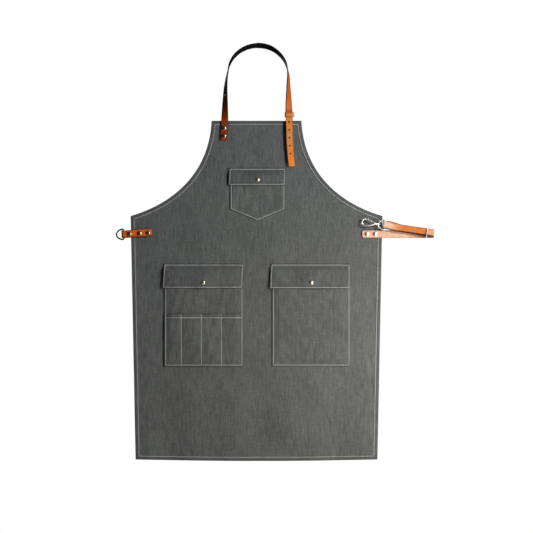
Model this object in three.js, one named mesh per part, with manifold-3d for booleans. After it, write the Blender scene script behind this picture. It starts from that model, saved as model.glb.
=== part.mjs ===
// Canvas bib apron with leather straps, hanging by its neck strap.
//
// Millimetres, +Z up, the front faces -Y, +X is to the right seen from the front.
// The origin is the point that hangs on a peg: the underside of the neck strap at its top.
// Inside the file the apron is built in its own cloth frame: x = 0 is the centre line, z = 0 is the top
// edge of the bib, and "depth" is the distance in front of the middle of the body cloth (y = -depth).
// Everything is shifted to the hanging point at the end.

import * as THREE from 'three';
import { mergeVertices } from 'three/addons/utils/BufferGeometryUtils.js';
import Module from 'manifold-3d';

const wasm = await Module();
wasm.setup();

// ---------------------------------------------------------------- driving dimensions

const GAP = 0.3; // clearance between pieces that touch

// Body cloth
const CLOTH = 1.2;
const HEM = 2.4; // folded hem round the edge, which the leather lies on
const BODY_LENGTH = 750;
const BIB_WIDTH = 198;
const WAIST_WIDTH = 556;
const HEM_WIDTH = 534;
const WAIST_DROP = 210.5; // from the bib's top edge to the waist corners

// Leather
const LEATHER = 2.6;
const NECK_WIDTH = 15.5;
const WAIST_STRAP_WIDTH = 17;
const LAID = HEM / 2 + GAP; // depth of the back face of leather that lies on the hem

// Pockets
const POCKET_CLOTH = 1;
const POCKET_ROOM = 4.4; // clear depth inside a pocket
const POCKET_BACK = CLOTH / 2;
const FLAP_DEPTH = 9; // depth of the back of a closed flap
const POCKET_MOUTH = 14; // the pocket's top edge is this far below the flap's top
const TOOL_DIVIDERS = [-166.2, -121.7, -77.2];
const TOOL_PANEL_TOP = -427;

// Neck strap
const APEX_HEIGHT = 170.6;
const APEX_SETBACK = 58; // the loop leans back this far at its top
const LEFT_NECK_DEPTH = LAID + LEATHER / 2;
const RIGHT_NECK_DEPTH = 7.7; // clear of the rivets of the tab under it
const HOLE_PITCH = 17.4;
const FIRST_HOLE = 14.7;
const HOLE_COUNT = 6;
const RIGHT_TAB_X = 72.3;
const TAB_RIVETS = [FIRST_HOLE - 2 * HOLE_PITCH, FIRST_HOLE - 3 * HOLE_PITCH];
const TAB_TOP = 21.5;
const TAB_BOTTOM = -47;
const LEFT_RIVET_X = -71.8;
const LEFT_RIVETS = [-15.5, -33.2];

// Waist strap and its hook
const STRAP_SLOPE = THREE.MathUtils.degToRad(8.4);
const STRAP_START = 234.3;
const STRAP_Z = -250.2;
const WAIST_RIVETS = [244.2, 262.2];
const BEND_X = 388.2; // centre of the turn at the strap's far end
const RUN_DEPTHS = { lower: LAID + LEATHER / 2, middle: 8.8, front: 11.7 };
const END_TAPER = { length: 2.5, clip: 5 }; // a strap's riveted end is clipped narrower
const UPPER_RUN = { x: 282.1, z: -232.2 }; // where the front run's middle line starts
const EYE_LIFT = 1.9; // of the eye's bar, and of the fold round it, above that line
const MIDDLE_LIFTS = [[318, 0], [305, 1.4], [292, 2.8]]; // of the middle run above it: x, lift
const FRONT_LIFTS = [[291, 2.2, 1.9], [300, 0.7, 0.7], [309, 0, 0]]; // of the front run: x, depth, lift
const WRAP_RADIUS = 2.9; // of the strap's middle layer round the eye's bar
const EYE_WIRE = 2.6;
const SLIDER_X = 376.3;
const SLIDER_WIRE = 2.8;
const HOOK_LEAN = THREE.MathUtils.degToRad(1.5); // the hook leans back towards the cloth

// Ring tab
const RING_BAR = { x: -294.2, z: -250.6 };
const RING_TAB_TILT = THREE.MathUtils.degToRad(3.2);
const RING_WIRE = 3.4;
const RING_REACH = 18.9; // from the back of the bar to the outside of the bow
const RING_HEIGHT = 26.4;
const RING_TAB_LENGTH = 63;
const RING_TAB_RIVETS = [12.8, 35.2, 54.5]; // from the bar along the tab

// Rivets and snaps
const CAP_RADIUS = 5.2;
const SHANK_RADIUS = 1.3;
const SHANK_HOLE = 1.7;
const ROUND = 16; // sides of small turned pieces

// ---------------------------------------------------------------- finishes

const FINISH = {
  canvas: { color: 0x575a58, roughness: 0.95, metalness: 0 },
  leather: { color: 0xc8691f, roughness: 0.5, metalness: 0 },
  brass: { color: 0xb8964a, roughness: 0.3, metalness: 1 },
  steel: { color: 0xc9c4b8, roughness: 0.25, metalness: 1 },
  darkSteel: { color: 0x4a4540, roughness: 0.3, metalness: 1 },
};

const apron = new THREE.Group();

function add(name, geometry, finish, parent = apron) {
  const mesh = new THREE.Mesh(geometry, new THREE.MeshStandardMaterial(FINISH[finish]));
  mesh.name = name;
  parent.add(mesh);
  return mesh;
}

// ---------------------------------------------------------------- solid helpers

function toSolid(geometry) {
  const bare = geometry.clone();
  bare.deleteAttribute('normal');
  bare.deleteAttribute('uv');
  const merged = mergeVertices(bare, 1e-4);
  const mesh = new wasm.Mesh({
    numProp: 3,
    vertProperties: new Float32Array(merged.attributes.position.array),
    triVerts: new Uint32Array(merged.index.array),
  });
  return new wasm.Manifold(mesh);
}

function toGeometry(solid) {
  const mesh = solid.getMesh();
  const geometry = new THREE.BufferGeometry();
  geometry.setAttribute('position', new THREE.BufferAttribute(new Float32Array(mesh.vertProperties), 3));
  geometry.setIndex(new THREE.BufferAttribute(new Uint32Array(mesh.triVerts), 1));
  geometry.computeVertexNormals();
  return geometry;
}

function cut(geometry, ...tools) {
  return toGeometry(tools.reduce((solid, tool) => solid.subtract(toSolid(tool)), toSolid(geometry)));
}

function join(...pieces) {
  const [first, ...rest] = pieces.map(toSolid);
  return toGeometry(rest.reduce((solid, piece) => solid.add(piece), first));
}

// A flat plate facing front: an outline in x and z, from one depth to another.
function plate(shape, backDepth, frontDepth) {
  const geometry = new THREE.ExtrudeGeometry(shape, {
    depth: frontDepth - backDepth,
    bevelEnabled: false,
    curveSegments: 10,
  });
  return geometry.translate(0, 0, backDepth).rotateX(Math.PI / 2);
}

// A turned piece with its axis front to back: profile points are [radius, depth].
function turned(profile, x, z) {
  const points = profile.map(([radius, depth]) => new THREE.Vector2(radius, depth));
  return new THREE.LatheGeometry(points, ROUND).rotateX(Math.PI).translate(x, 0, z);
}

// A round drill through everything between two depths.
function drill(x, z, radius, backDepth, frontDepth) {
  const length = frontDepth - backDepth;
  const middle = (frontDepth + backDepth) / 2;
  return new THREE.CylinderGeometry(radius, radius, length, 12).translate(x, -middle, z);
}

function rectangle(left, right, bottom, top) {
  const shape = new THREE.Shape();
  shape.moveTo(left, bottom);
  shape.lineTo(right, bottom);
  shape.lineTo(right, top);
  shape.lineTo(left, top);
  shape.closePath();
  return shape;
}

function polygon(points) {
  return new THREE.Shape(points.map(([x, z]) => new THREE.Vector2(x, z)));
}

// A rectangular outline with round corners, centred on the origin.
function roundRectangle(width, height, radius, Kind = THREE.Shape) {
  const [w, h] = [width / 2, height / 2];
  const shape = new Kind();
  shape.moveTo(w, -h + radius);
  shape.lineTo(w, h - radius);
  shape.absarc(w - radius, h - radius, radius, 0, Math.PI / 2, false);
  shape.lineTo(-w + radius, h);
  shape.absarc(-w + radius, h - radius, radius, Math.PI / 2, Math.PI, false);
  shape.lineTo(-w, -h + radius);
  shape.absarc(-w + radius, -h + radius, radius, Math.PI, 1.5 * Math.PI, false);
  shape.lineTo(w - radius, -h);
  shape.absarc(w - radius, -h + radius, radius, 1.5 * Math.PI, 2 * Math.PI, false);
  return shape;
}

// A strap: a rectangular section carried along stations, each with a point, the direction across the
// strap and, at its clipped ends, its own width.
function ribbon(width, thickness, stations) {
  const steps = stations.length - 1;
  const geometry = new THREE.BoxGeometry(1, thickness, 1, 1, 1, steps);
  const position = geometry.attributes.position;
  const vertex = new THREE.Vector3();
  for (let i = 0; i < position.count; i += 1) {
    vertex.fromBufferAttribute(position, i);
    const station = stations[Math.round((vertex.z + 0.5) * steps)];
    const { point, across, normal } = station;
    const reach = vertex.x * (station.width ?? width);
    const place = point.clone().addScaledVector(across, reach).addScaledVector(normal, vertex.y);
    position.setXYZ(i, place.x, place.y, place.z);
  }
  return geometry;
}

// Gives each station its tangent from its neighbours, and squares the across direction to it.
function frameStations(stations) {
  const last = stations.length - 1;
  stations.forEach((station, i) => {
    const before = stations[Math.max(i - 1, 0)].point;
    const after = stations[Math.min(i + 1, last)].point;
    const tangent = after.clone().sub(before).normalize();
    const lean = station.across.dot(tangent);
    station.across = station.across.clone().addScaledVector(tangent, -lean).normalize();
    station.normal = tangent.clone().cross(station.across);
  });
  return stations;
}

// ---------------------------------------------------------------- fasteners

// A double-cap rivet: the post and its back flange are one piece, the domed cap the other.
function rivet(name, x, z, backDepth, frontDepth) {
  const foot = backDepth - GAP;
  const seat = frontDepth + GAP;
  const post = [[0, foot - 1.3], [3.4, foot - 1.2], [4.6, foot - 0.6], [4.6, foot],
    [SHANK_RADIUS, foot], [SHANK_RADIUS, seat + 0.8], [0, seat + 0.8]];
  const cap = [[0, seat + 1.1], [SHANK_HOLE, seat + 1.1], [SHANK_HOLE, seat], [CAP_RADIUS, seat],
    [CAP_RADIUS, seat + 0.3], [4.4, seat + 1], [2.6, seat + 1.5], [0, seat + 1.7]];
  add(`${name}_post`, turned(post, x, z), 'brass');
  add(`${name}_cap`, turned(cap, x, z), 'brass');
}

// A snap fastener: cap and socket on the flap, stud and its post on the pocket.
function snap(name, x, z) {
  const panel = POCKET_BACK + POCKET_ROOM;
  const front = panel + POCKET_CLOTH;
  const post = [[0, panel - 1], [4.3, panel - 1], [4.3, panel - GAP], [1, panel - GAP],
    [1, front + 1.2], [0, front + 1.2]];
  const stud = [[1.3, front + GAP], [4.4, front + GAP], [4.4, front + 0.7], [2.1, front + 0.7],
    [2.4, front + 1.7], [1.8, front + 2.2], [0, front + 2.2], [0, front + 1.5], [1.3, front + 1.5],
    [1.3, front + GAP]];
  const socket = [[2.8, front + 1.1], [4.6, front + 1.1], [4.6, FLAP_DEPTH - GAP],
    [1.3, FLAP_DEPTH - GAP], [1.3, FLAP_DEPTH - 0.7], [2.8, FLAP_DEPTH - 0.7]];
  const flapFront = FLAP_DEPTH + POCKET_CLOTH;
  const cap = [[0, FLAP_DEPTH - 0.6], [1, FLAP_DEPTH - 0.6], [1, flapFront + GAP],
    [4.7, flapFront + GAP], [4.7, flapFront + 0.6], [3.9, flapFront + 1.2],
    [2.2, flapFront + 1.6], [0, flapFront + 1.7]];
  add(`${name}_snap_post`, turned(post, x, z), 'brass');
  add(`${name}_snap_stud`, turned(stud, x, z), 'brass');
  add(`${name}_snap_socket`, turned([...socket, socket[0]], x, z), 'brass');
  add(`${name}_snap_cap`, turned(cap, x, z), 'brass');
}

// ---------------------------------------------------------------- body cloth

function apronBody() {
  const shape = new THREE.Shape();
  const [bib, waist, hem] = [BIB_WIDTH / 2, WAIST_WIDTH / 2, HEM_WIDTH / 2];
  shape.moveTo(-bib, 0);
  shape.bezierCurveTo(-bib - 5, -110, -177, -181, -waist, -WAIST_DROP);
  shape.lineTo(-hem, -BODY_LENGTH);
  shape.lineTo(hem, -BODY_LENGTH);
  shape.lineTo(waist, -WAIST_DROP);
  shape.bezierCurveTo(177, -181, bib + 5, -110, bib, 0);
  shape.closePath();
  const holes = [
    ...LEFT_RIVETS.map((z) => [LEFT_RIVET_X, z]),
    ...TAB_RIVETS.map((z) => [RIGHT_TAB_X, z]),
    ...WAIST_RIVETS.map((x) => [x, STRAP_Z]),
    ...RING_TAB_RIVETS.slice(1).map(ringTabPoint),
  ];
  holes.forEach(([x, z]) => {
    shape.holes.push(new THREE.Path().absarc(x, z, SHANK_HOLE, 0, 2 * Math.PI, true));
  });
  add('apron_body', plate(shape, -CLOTH / 2, CLOTH / 2), 'canvas');
}

// ---------------------------------------------------------------- pockets

// A patch pocket: a front panel with sides and bottom closed to the body, open at the top.
function pocketTray(outline, inner, backDepth, room) {
  const back = backDepth + GAP;
  const front = backDepth + room + POCKET_CLOTH;
  return cut(plate(outline, back, front), plate(inner, back - 1, backDepth + room));
}

// A flap, sewn along its top edge and bent out over the pocket's mouth.
function flap(left, right, top, height) {
  const sewn = CLOTH / 2 + GAP;
  const back = [[sewn, 0], [sewn, -4], [6.6, -POCKET_MOUTH + 1], [FLAP_DEPTH, -POCKET_MOUTH - 4],
    [FLAP_DEPTH, -height]];
  const front = back.map(([depth, z]) => [depth + POCKET_CLOTH, z]).reverse();
  const section = new THREE.Shape([...back, ...front].map(([d, z]) => new THREE.Vector2(-d, z)));
  const geometry = new THREE.ExtrudeGeometry(section, { depth: right - left, bevelEnabled: false });
  // the section is drawn in y and z; its extrusion runs along x
  geometry.applyMatrix4(new THREE.Matrix4().makeBasis(
    new THREE.Vector3(0, 1, 0),
    new THREE.Vector3(0, 0, 1),
    new THREE.Vector3(1, 0, 0),
  ));
  return geometry.translate(left, 0, top);
}

function pocket(name, { box, flapBox, snapAt, point = 0 }) {
  const [left, right, bottom] = box;
  const [flapLeft, flapRight, flapTop, flapHeight] = flapBox;
  const top = flapTop - POCKET_MOUTH;
  const t = POCKET_CLOTH;
  const middle = (left + right) / 2;
  const outline = polygon([[left, top], [left, bottom], [middle, bottom - point], [right, bottom],
    [right, top]]);
  const inner = polygon([[left + t, top + 1], [left + t, bottom + t], [middle, bottom - point + t],
    [right - t, bottom + t], [right - t, top + 1]]);
  const [x, z] = snapAt;
  const front = POCKET_BACK + POCKET_ROOM + t;
  const tray = pocketTray(outline, inner, POCKET_BACK, POCKET_ROOM);
  add(`${name}_pocket`, cut(tray, drill(x, z, 1.3, front - 3, front + 1)), 'canvas');
  const cover = flap(flapLeft, flapRight, flapTop, flapHeight);
  const flapHole = drill(x, z, 1.3, FLAP_DEPTH - 1, FLAP_DEPTH + 3);
  add(`${name}_pocket_flap`, cut(cover, flapHole), 'canvas');
  snap(name, x, z);
}

// The slotted panel sewn over the lower half of the left pocket: four slots for pens and tools.
function toolPanel(left, right, bottom) {
  const back = POCKET_BACK + POCKET_ROOM + POCKET_CLOTH;
  const t = POCKET_CLOTH;
  const walls = [left + t / 2, ...TOOL_DIVIDERS, right - t / 2];
  const slots = walls.slice(1).map((wall, i) => plate(
    rectangle(walls[i] + t / 2, wall - t / 2, bottom + t, TOOL_PANEL_TOP + 1),
    back,
    back + POCKET_ROOM,
  ));
  const block = plate(rectangle(left, right, bottom, TOOL_PANEL_TOP), back + GAP, back + POCKET_ROOM + t);
  add('left_tool_panel', cut(block, ...slots), 'canvas');
}

// ---------------------------------------------------------------- neck strap

// Centre line of the strap seen from the front, from its riveted end to the tip of its free tail.
const NECK_PATH = [
  [-72.4, -43.4], [-71.2, -18], [-70.2, 6], [-69.4, 46], [-68.4, 76], [-65, 104], [-57.6, 133],
  [-43, 152.6], [-22, 165.6], [3, APEX_HEIGHT], [29, 165.6], [48.6, 152.6], [62.8, 134], [69.8, 110],
  [70.8, 76], [71, 46], [71.8, 14], [72.6, -9], [73.6, -44], [75, -66], [78.4, -100.5],
];
const TWIST_END = 128; // height at which the strap stands edge on
const CLIPPED_END = NECK_WIDTH - END_TAPER.clip;
const NECK_STEPS = 84;

// The strap lies flat on the bib at both ends and turns edge on as it climbs, inner edge forward.
// Each side starts to lean back and to turn at its own height.
const SIDES = {
  left: { base: LEFT_NECK_DEPTH, start: 0, sign: 1 },
  right: { base: RIGHT_NECK_DEPTH, start: 20, sign: -1 },
};

function neckRise(z, side) {
  return Math.max(z - side.start, 0) / (APEX_HEIGHT - side.start);
}

function neckDepth(z, side) {
  return side.base - (side.base + APEX_SETBACK) * neckRise(z, side) ** 2;
}

function neckAcross(point, side) {
  const share = THREE.MathUtils.clamp((point.z - side.start) / (TWIST_END - side.start), 0, 1);
  const twist = (Math.PI / 2) * share ** 0.6;
  const slope = 2 * neckRise(point.z, side) * (side.base + APEX_SETBACK) / (APEX_HEIGHT - side.start);
  const lean = Math.atan(slope);
  const forward = new THREE.Vector3(0, -Math.cos(lean), Math.sin(lean));
  return new THREE.Vector3(side.sign * Math.cos(twist), 0, 0).addScaledVector(forward, Math.sin(twist));
}

function neckCurve() {
  const apexIndex = NECK_PATH.findIndex(([, z]) => z === APEX_HEIGHT);
  return new THREE.CatmullRomCurve3(NECK_PATH.map(([x, z], i) => {
    const side = i <= apexIndex ? SIDES.left : SIDES.right;
    return new THREE.Vector3(x, -neckDepth(z, side), z);
  }));
}

function tailX(z) {
  const tail = NECK_PATH.slice(-6);
  const i = tail.findIndex(([, height]) => height <= z);
  const [[xa, za], [xb, zb]] = [tail[i - 1], tail[i]];
  return xa + (xb - xa) * (z - za) / (zb - za);
}

function neckStrap() {
  const curve = neckCurve();
  const stations = [];
  for (let i = 0; i <= NECK_STEPS; i += 1) {
    const point = curve.getPointAt(i / NECK_STEPS);
    stations.push({ point, across: neckAcross(point, point.x < 0 ? SIDES.left : SIDES.right) });
  }
  stations[0].width = CLIPPED_END;
  stations[NECK_STEPS].width = CLIPPED_END;
  const strap = ribbon(NECK_WIDTH, LEATHER, frameStations(stations));
  const front = RIGHT_NECK_DEPTH + LEATHER;
  const punches = Array.from({ length: HOLE_COUNT }, (_, i) => {
    const z = FIRST_HOLE - i * HOLE_PITCH;
    const x = i === 0 ? RIGHT_TAB_X : tailX(z) - 0.6;
    return drill(x, z, 2.1, RIGHT_NECK_DEPTH - LEATHER, front);
  });
  const rivetHoles = LEFT_RIVETS.map((z) => drill(LEFT_RIVET_X, z, SHANK_HOLE, 0, LAID + LEATHER + 2));
  add('neck_strap', cut(strap, ...punches, ...rivetHoles), 'leather');
}

// The short tab under the strap's free end, with the button stud that its holes slip over.
function neckTab() {
  const shape = rectangle(RIGHT_TAB_X - 7.2, RIGHT_TAB_X + 7.2, TAB_BOTTOM, TAB_TOP);
  [FIRST_HOLE, ...TAB_RIVETS].forEach((z) => {
    shape.holes.push(new THREE.Path().absarc(RIGHT_TAB_X, z, SHANK_HOLE, 0, 2 * Math.PI, true));
  });
  add('neck_tab', plate(shape, LAID, LAID + LEATHER), 'leather');
  const collar = LAID + LEATHER + GAP;
  const strapBack = RIGHT_NECK_DEPTH - LEATHER / 2 - GAP;
  const strapFront = RIGHT_NECK_DEPTH + LEATHER / 2 + GAP;
  const stud = [[0, collar + 1.2], [0.95, collar + 1.2], [0.95, collar], [3.4, collar],
    [3.4, strapBack], [1.7, strapBack], [1.7, strapFront], [3.2, strapFront + 0.5],
    [3.2, strapFront + 1.4], [2.3, strapFront + 2], [0, strapFront + 2]];
  const screw = [[0, LAID - GAP - 1], [4.2, LAID - GAP - 1], [4.2, LAID - GAP], [1.3, LAID - GAP],
    [1.3, collar - GAP], [0.65, collar - GAP], [0.65, collar + 0.9], [0, collar + 0.9]];
  add('neck_stud', turned(stud, RIGHT_TAB_X, FIRST_HOLE), 'brass');
  add('neck_stud_screw', turned(screw, RIGHT_TAB_X, FIRST_HOLE), 'brass');
}

// The leather loop that slides along strap and tab and covers the stud.
const KEEPER = { width: 20.4, back: -1.6, front: 13.1, wall: 1.5, bottom: 8.2, height: 11 };

function neckKeeper() {
  const depth = KEEPER.front - KEEPER.back;
  const shape = roundRectangle(KEEPER.width, depth, 4);
  const inside = [KEEPER.width - 2 * KEEPER.wall, depth - 2 * KEEPER.wall, 2.6];
  shape.holes.push(roundRectangle(...inside, THREE.Path));
  const options = { depth: KEEPER.height, bevelEnabled: false, curveSegments: 4 };
  const geometry = new THREE.ExtrudeGeometry(shape, options);
  geometry.translate(RIGHT_TAB_X, -(KEEPER.front + KEEPER.back) / 2, KEEPER.bottom);
  add('neck_keeper', geometry, 'leather');
}

// ---------------------------------------------------------------- ring tab and ring, wearer's right side

// Where a point a given distance from the bar along the tab lies in x and z.
function ringTabPoint(along) {
  return [
    RING_BAR.x + along * Math.cos(RING_TAB_TILT),
    RING_BAR.z + along * Math.sin(RING_TAB_TILT),
  ];
}

// A D-shaped ring in x and y, its straight bar centred on the origin, its bow towards -x.
function ringShape(reach, height, wire) {
  const shape = new THREE.Shape();
  const bar = wire / 2;
  const tall = height / 2;
  shape.moveTo(bar, -tall + bar);
  shape.lineTo(bar, tall - bar);
  shape.lineTo(0, tall);
  shape.absellipse(0, 0, reach, tall, Math.PI / 2, 1.5 * Math.PI, false);
  shape.closePath();
  const inside = new THREE.Path();
  inside.moveTo(-bar, tall - wire);
  inside.absellipse(-bar, 0, reach - wire - bar, tall - wire, Math.PI / 2, 1.5 * Math.PI, false);
  inside.closePath();
  shape.holes.push(inside);
  return shape;
}

// Wire stock: a flat outline thickened to the wire's size with bevelled edges.
function wireStock(shape, wire, curveSegments = 12) {
  const bevel = wire * 0.28;
  const geometry = new THREE.ExtrudeGeometry(shape, {
    depth: wire - 2 * bevel,
    bevelThickness: bevel,
    bevelSize: bevel,
    bevelOffset: -bevel,
    bevelSegments: 1,
    curveSegments,
  });
  return geometry.translate(0, 0, bevel - wire / 2);
}

function ringTab() {
  const half = RING_WIRE / 2 + GAP; // clear half space between the two layers
  const outer = half + LEATHER;
  const shape = new THREE.Shape();
  shape.moveTo(RING_TAB_LENGTH, outer);
  shape.lineTo(0, outer);
  shape.absarc(0, 0, outer, Math.PI / 2, 1.5 * Math.PI, false);
  shape.lineTo(RING_TAB_LENGTH, -outer);
  shape.lineTo(RING_TAB_LENGTH, -half);
  shape.lineTo(0, -half);
  shape.absarc(0, 0, half, 1.5 * Math.PI, Math.PI / 2, true);
  shape.lineTo(RING_TAB_LENGTH, half);
  shape.closePath();
  const options = { depth: WAIST_STRAP_WIDTH, bevelEnabled: false, curveSegments: 8 };
  const fold = new THREE.ExtrudeGeometry(shape, options).translate(0, 0, -WAIST_STRAP_WIDTH / 2);
  fold.rotateY(-RING_TAB_TILT).translate(RING_BAR.x, 0, RING_BAR.z);
  const holes = RING_TAB_RIVETS.map(ringTabPoint);
  const drills = holes.map(([x, z]) => drill(x, z, SHANK_HOLE, -outer - 2, outer + 2));
  add('ring_tab', cut(fold, ...drills), 'leather');
  holes.forEach(([x, z], i) => rivet(`ring_tab_rivet_${i + 1}`, x, z, -outer, outer));

  const ring = wireStock(ringShape(RING_REACH - RING_WIRE / 2, RING_HEIGHT, RING_WIRE), RING_WIRE);
  ring.rotateX(Math.PI / 2).rotateY(-RING_TAB_TILT).translate(RING_BAR.x, 0, RING_BAR.z);
  add('d_ring', ring, 'darkSteel');
}

// ---------------------------------------------------------------- waist strap, wearer's left side

const ALONG = new THREE.Vector3(Math.cos(STRAP_SLOPE), 0, -Math.sin(STRAP_SLOPE));
const UPRIGHT = new THREE.Vector3(0, 0, 1);
const TILTED = new THREE.Vector3(Math.sin(STRAP_SLOPE), 0, Math.cos(STRAP_SLOPE));
const BACK = new THREE.Vector3(0, 1, 0);

// A point on the sloping upper runs, by its x and depth, lifted across the strap.
function onUpperRun(x, depth, lift = 0) {
  const start = new THREE.Vector3(UPPER_RUN.x, -depth, UPPER_RUN.z);
  return start.addScaledVector(ALONG, (x - UPPER_RUN.x) / ALONG.x).addScaledVector(TILTED, lift);
}

// One strap: along the lower run, round the turn at its far end, back behind the front run to the
// hook's eye, round the eye's bar, and out again as the front run through the slider.
function waistStrapStations() {
  const { lower, middle, front } = RUN_DEPTHS;
  const turnDepth = (lower + middle) / 2;
  const turnRadius = (middle - lower) / 2;
  const stations = [];
  const put = (point, across, width) => stations.push({ point, across, width });
  put(new THREE.Vector3(STRAP_START, -lower, STRAP_Z), UPRIGHT, WAIST_STRAP_WIDTH - END_TAPER.clip);
  put(new THREE.Vector3(STRAP_START + END_TAPER.length, -lower, STRAP_Z), UPRIGHT);
  put(new THREE.Vector3((STRAP_START + BEND_X) / 2, -lower, STRAP_Z), UPRIGHT);
  const turnTop = onUpperRun(BEND_X, middle);
  for (let i = 0; i <= 8; i += 1) {
    const share = i / 8;
    const angle = Math.PI * share;
    const z = THREE.MathUtils.lerp(STRAP_Z, turnTop.z, share);
    const x = BEND_X + turnRadius * Math.sin(angle);
    const depth = turnDepth - turnRadius * Math.cos(angle);
    put(new THREE.Vector3(x, -depth, z), UPRIGHT.clone().lerp(TILTED, share));
  }
  const eyeDepth = middle + WRAP_RADIUS;
  MIDDLE_LIFTS.forEach(([x, lift]) => put(onUpperRun(x, middle, lift), TILTED));
  for (let i = 0; i <= 8; i += 1) {
    const angle = Math.PI * i / 8;
    const depth = eyeDepth - WRAP_RADIUS * Math.cos(angle);
    put(onUpperRun(UPPER_RUN.x - WRAP_RADIUS * Math.sin(angle), depth, EYE_LIFT), TILTED);
  }
  FRONT_LIFTS.forEach(([x, depth, lift]) => put(onUpperRun(x, front + depth, lift), TILTED));
  put(onUpperRun(BEND_X + 1.8, front), TILTED);
  put(onUpperRun(BEND_X + 4.1, front), TILTED, WAIST_STRAP_WIDTH - 3);
  return frameStations(stations);
}

function waistStrap() {
  const strap = ribbon(WAIST_STRAP_WIDTH, LEATHER, waistStrapStations());
  const drills = WAIST_RIVETS.map((x) => drill(x, STRAP_Z, SHANK_HOLE, 0, LAID + LEATHER + 1));
  add('waist_strap', cut(strap, ...drills), 'leather');
  WAIST_RIVETS.forEach((x, i) => {
    rivet(`waist_strap_rivet_${i + 1}`, x, STRAP_Z, -HEM / 2, LAID + LEATHER);
  });
}

// The wire slider round the front and middle runs.
function slider() {
  const inside = {
    tall: WAIST_STRAP_WIDTH + 5.4,
    back: RUN_DEPTHS.middle - LEATHER / 2 - GAP,
    front: RUN_DEPTHS.front + LEATHER / 2 + GAP,
  };
  const deep = inside.front - inside.back;
  const shape = roundRectangle(deep + 2 * SLIDER_WIRE, inside.tall + 2 * SLIDER_WIRE, SLIDER_WIRE + 1);
  shape.holes.push(roundRectangle(deep, inside.tall, 1, THREE.Path));
  const ring = wireStock(shape, SLIDER_WIRE, 4);
  // the outline is drawn in depth and height; its thickness runs along the strap
  ring.applyMatrix4(new THREE.Matrix4().makeBasis(BACK, TILTED, ALONG));
  const centre = onUpperRun(SLIDER_X, (inside.front + inside.back) / 2);
  add('strap_slider', ring.translate(centre.x, centre.y, centre.z), 'steel');
}

// ---------------------------------------------------------------- swivel hook

const EYE = { reach: 14.8, height: 23.4 };
const NECK = { start: 16, end: 25, radius: 3.2 }; // the hook's neck block, along its axis
const BOSS = { start: 12, end: 15.6, radius: 3.2 }; // the eye's boss that the stem turns in
const STEM = { head: 9.4, end: 18.4, radius: 1.2 };
const STEM_HOLE = STEM.radius + GAP;
const GATE_PIVOT = { u: 22.2, v: 1.2 };
const GATE_PIN_RADIUS = 0.9;
const HOOK_WIRE = 3.5;

// The hook is drawn in u, along its axis from the eye's bar to the tip, and v, across it.
const HOOK_LINE = [[23, -1.8], [30, -4.6], [37, -6.5], [43.5, -6.9], [48.4, -4.5], [49.8, 0], [48.3, 4.6],
  [44.8, 6.8], [41.4, 7.1]];
const GATE_LINE = [[GATE_PIVOT.u, GATE_PIVOT.v], [31, 4.6], [40.6, 7.1]];

// A flat outline of a constant or tapering width along a smooth line.
function strip(line, startWidth, endWidth) {
  const curve = new THREE.CatmullRomCurve3(line.map(([u, v]) => new THREE.Vector3(u, v, 0)));
  const steps = 22;
  const sides = [[], []];
  for (let i = 0; i <= steps; i += 1) {
    const point = curve.getPointAt(i / steps);
    const tangent = curve.getTangentAt(i / steps);
    const half = THREE.MathUtils.lerp(startWidth, endWidth, i / steps) / 2;
    sides[0].push(new THREE.Vector2(point.x + tangent.y * half, point.y - tangent.x * half));
    sides[1].push(new THREE.Vector2(point.x - tangent.y * half, point.y + tangent.x * half));
  }
  return new THREE.Shape([...sides[0], ...sides[1].reverse()]);
}

// A turned piece with its axis along u: profile points are [radius, u].
function turnedAlong(profile) {
  const points = profile.map(([radius, u]) => new THREE.Vector2(radius, u));
  return new THREE.LatheGeometry(points, ROUND).rotateZ(-Math.PI / 2);
}

function boxAt(size, centre) {
  return new THREE.BoxGeometry(...size).translate(...centre);
}

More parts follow.
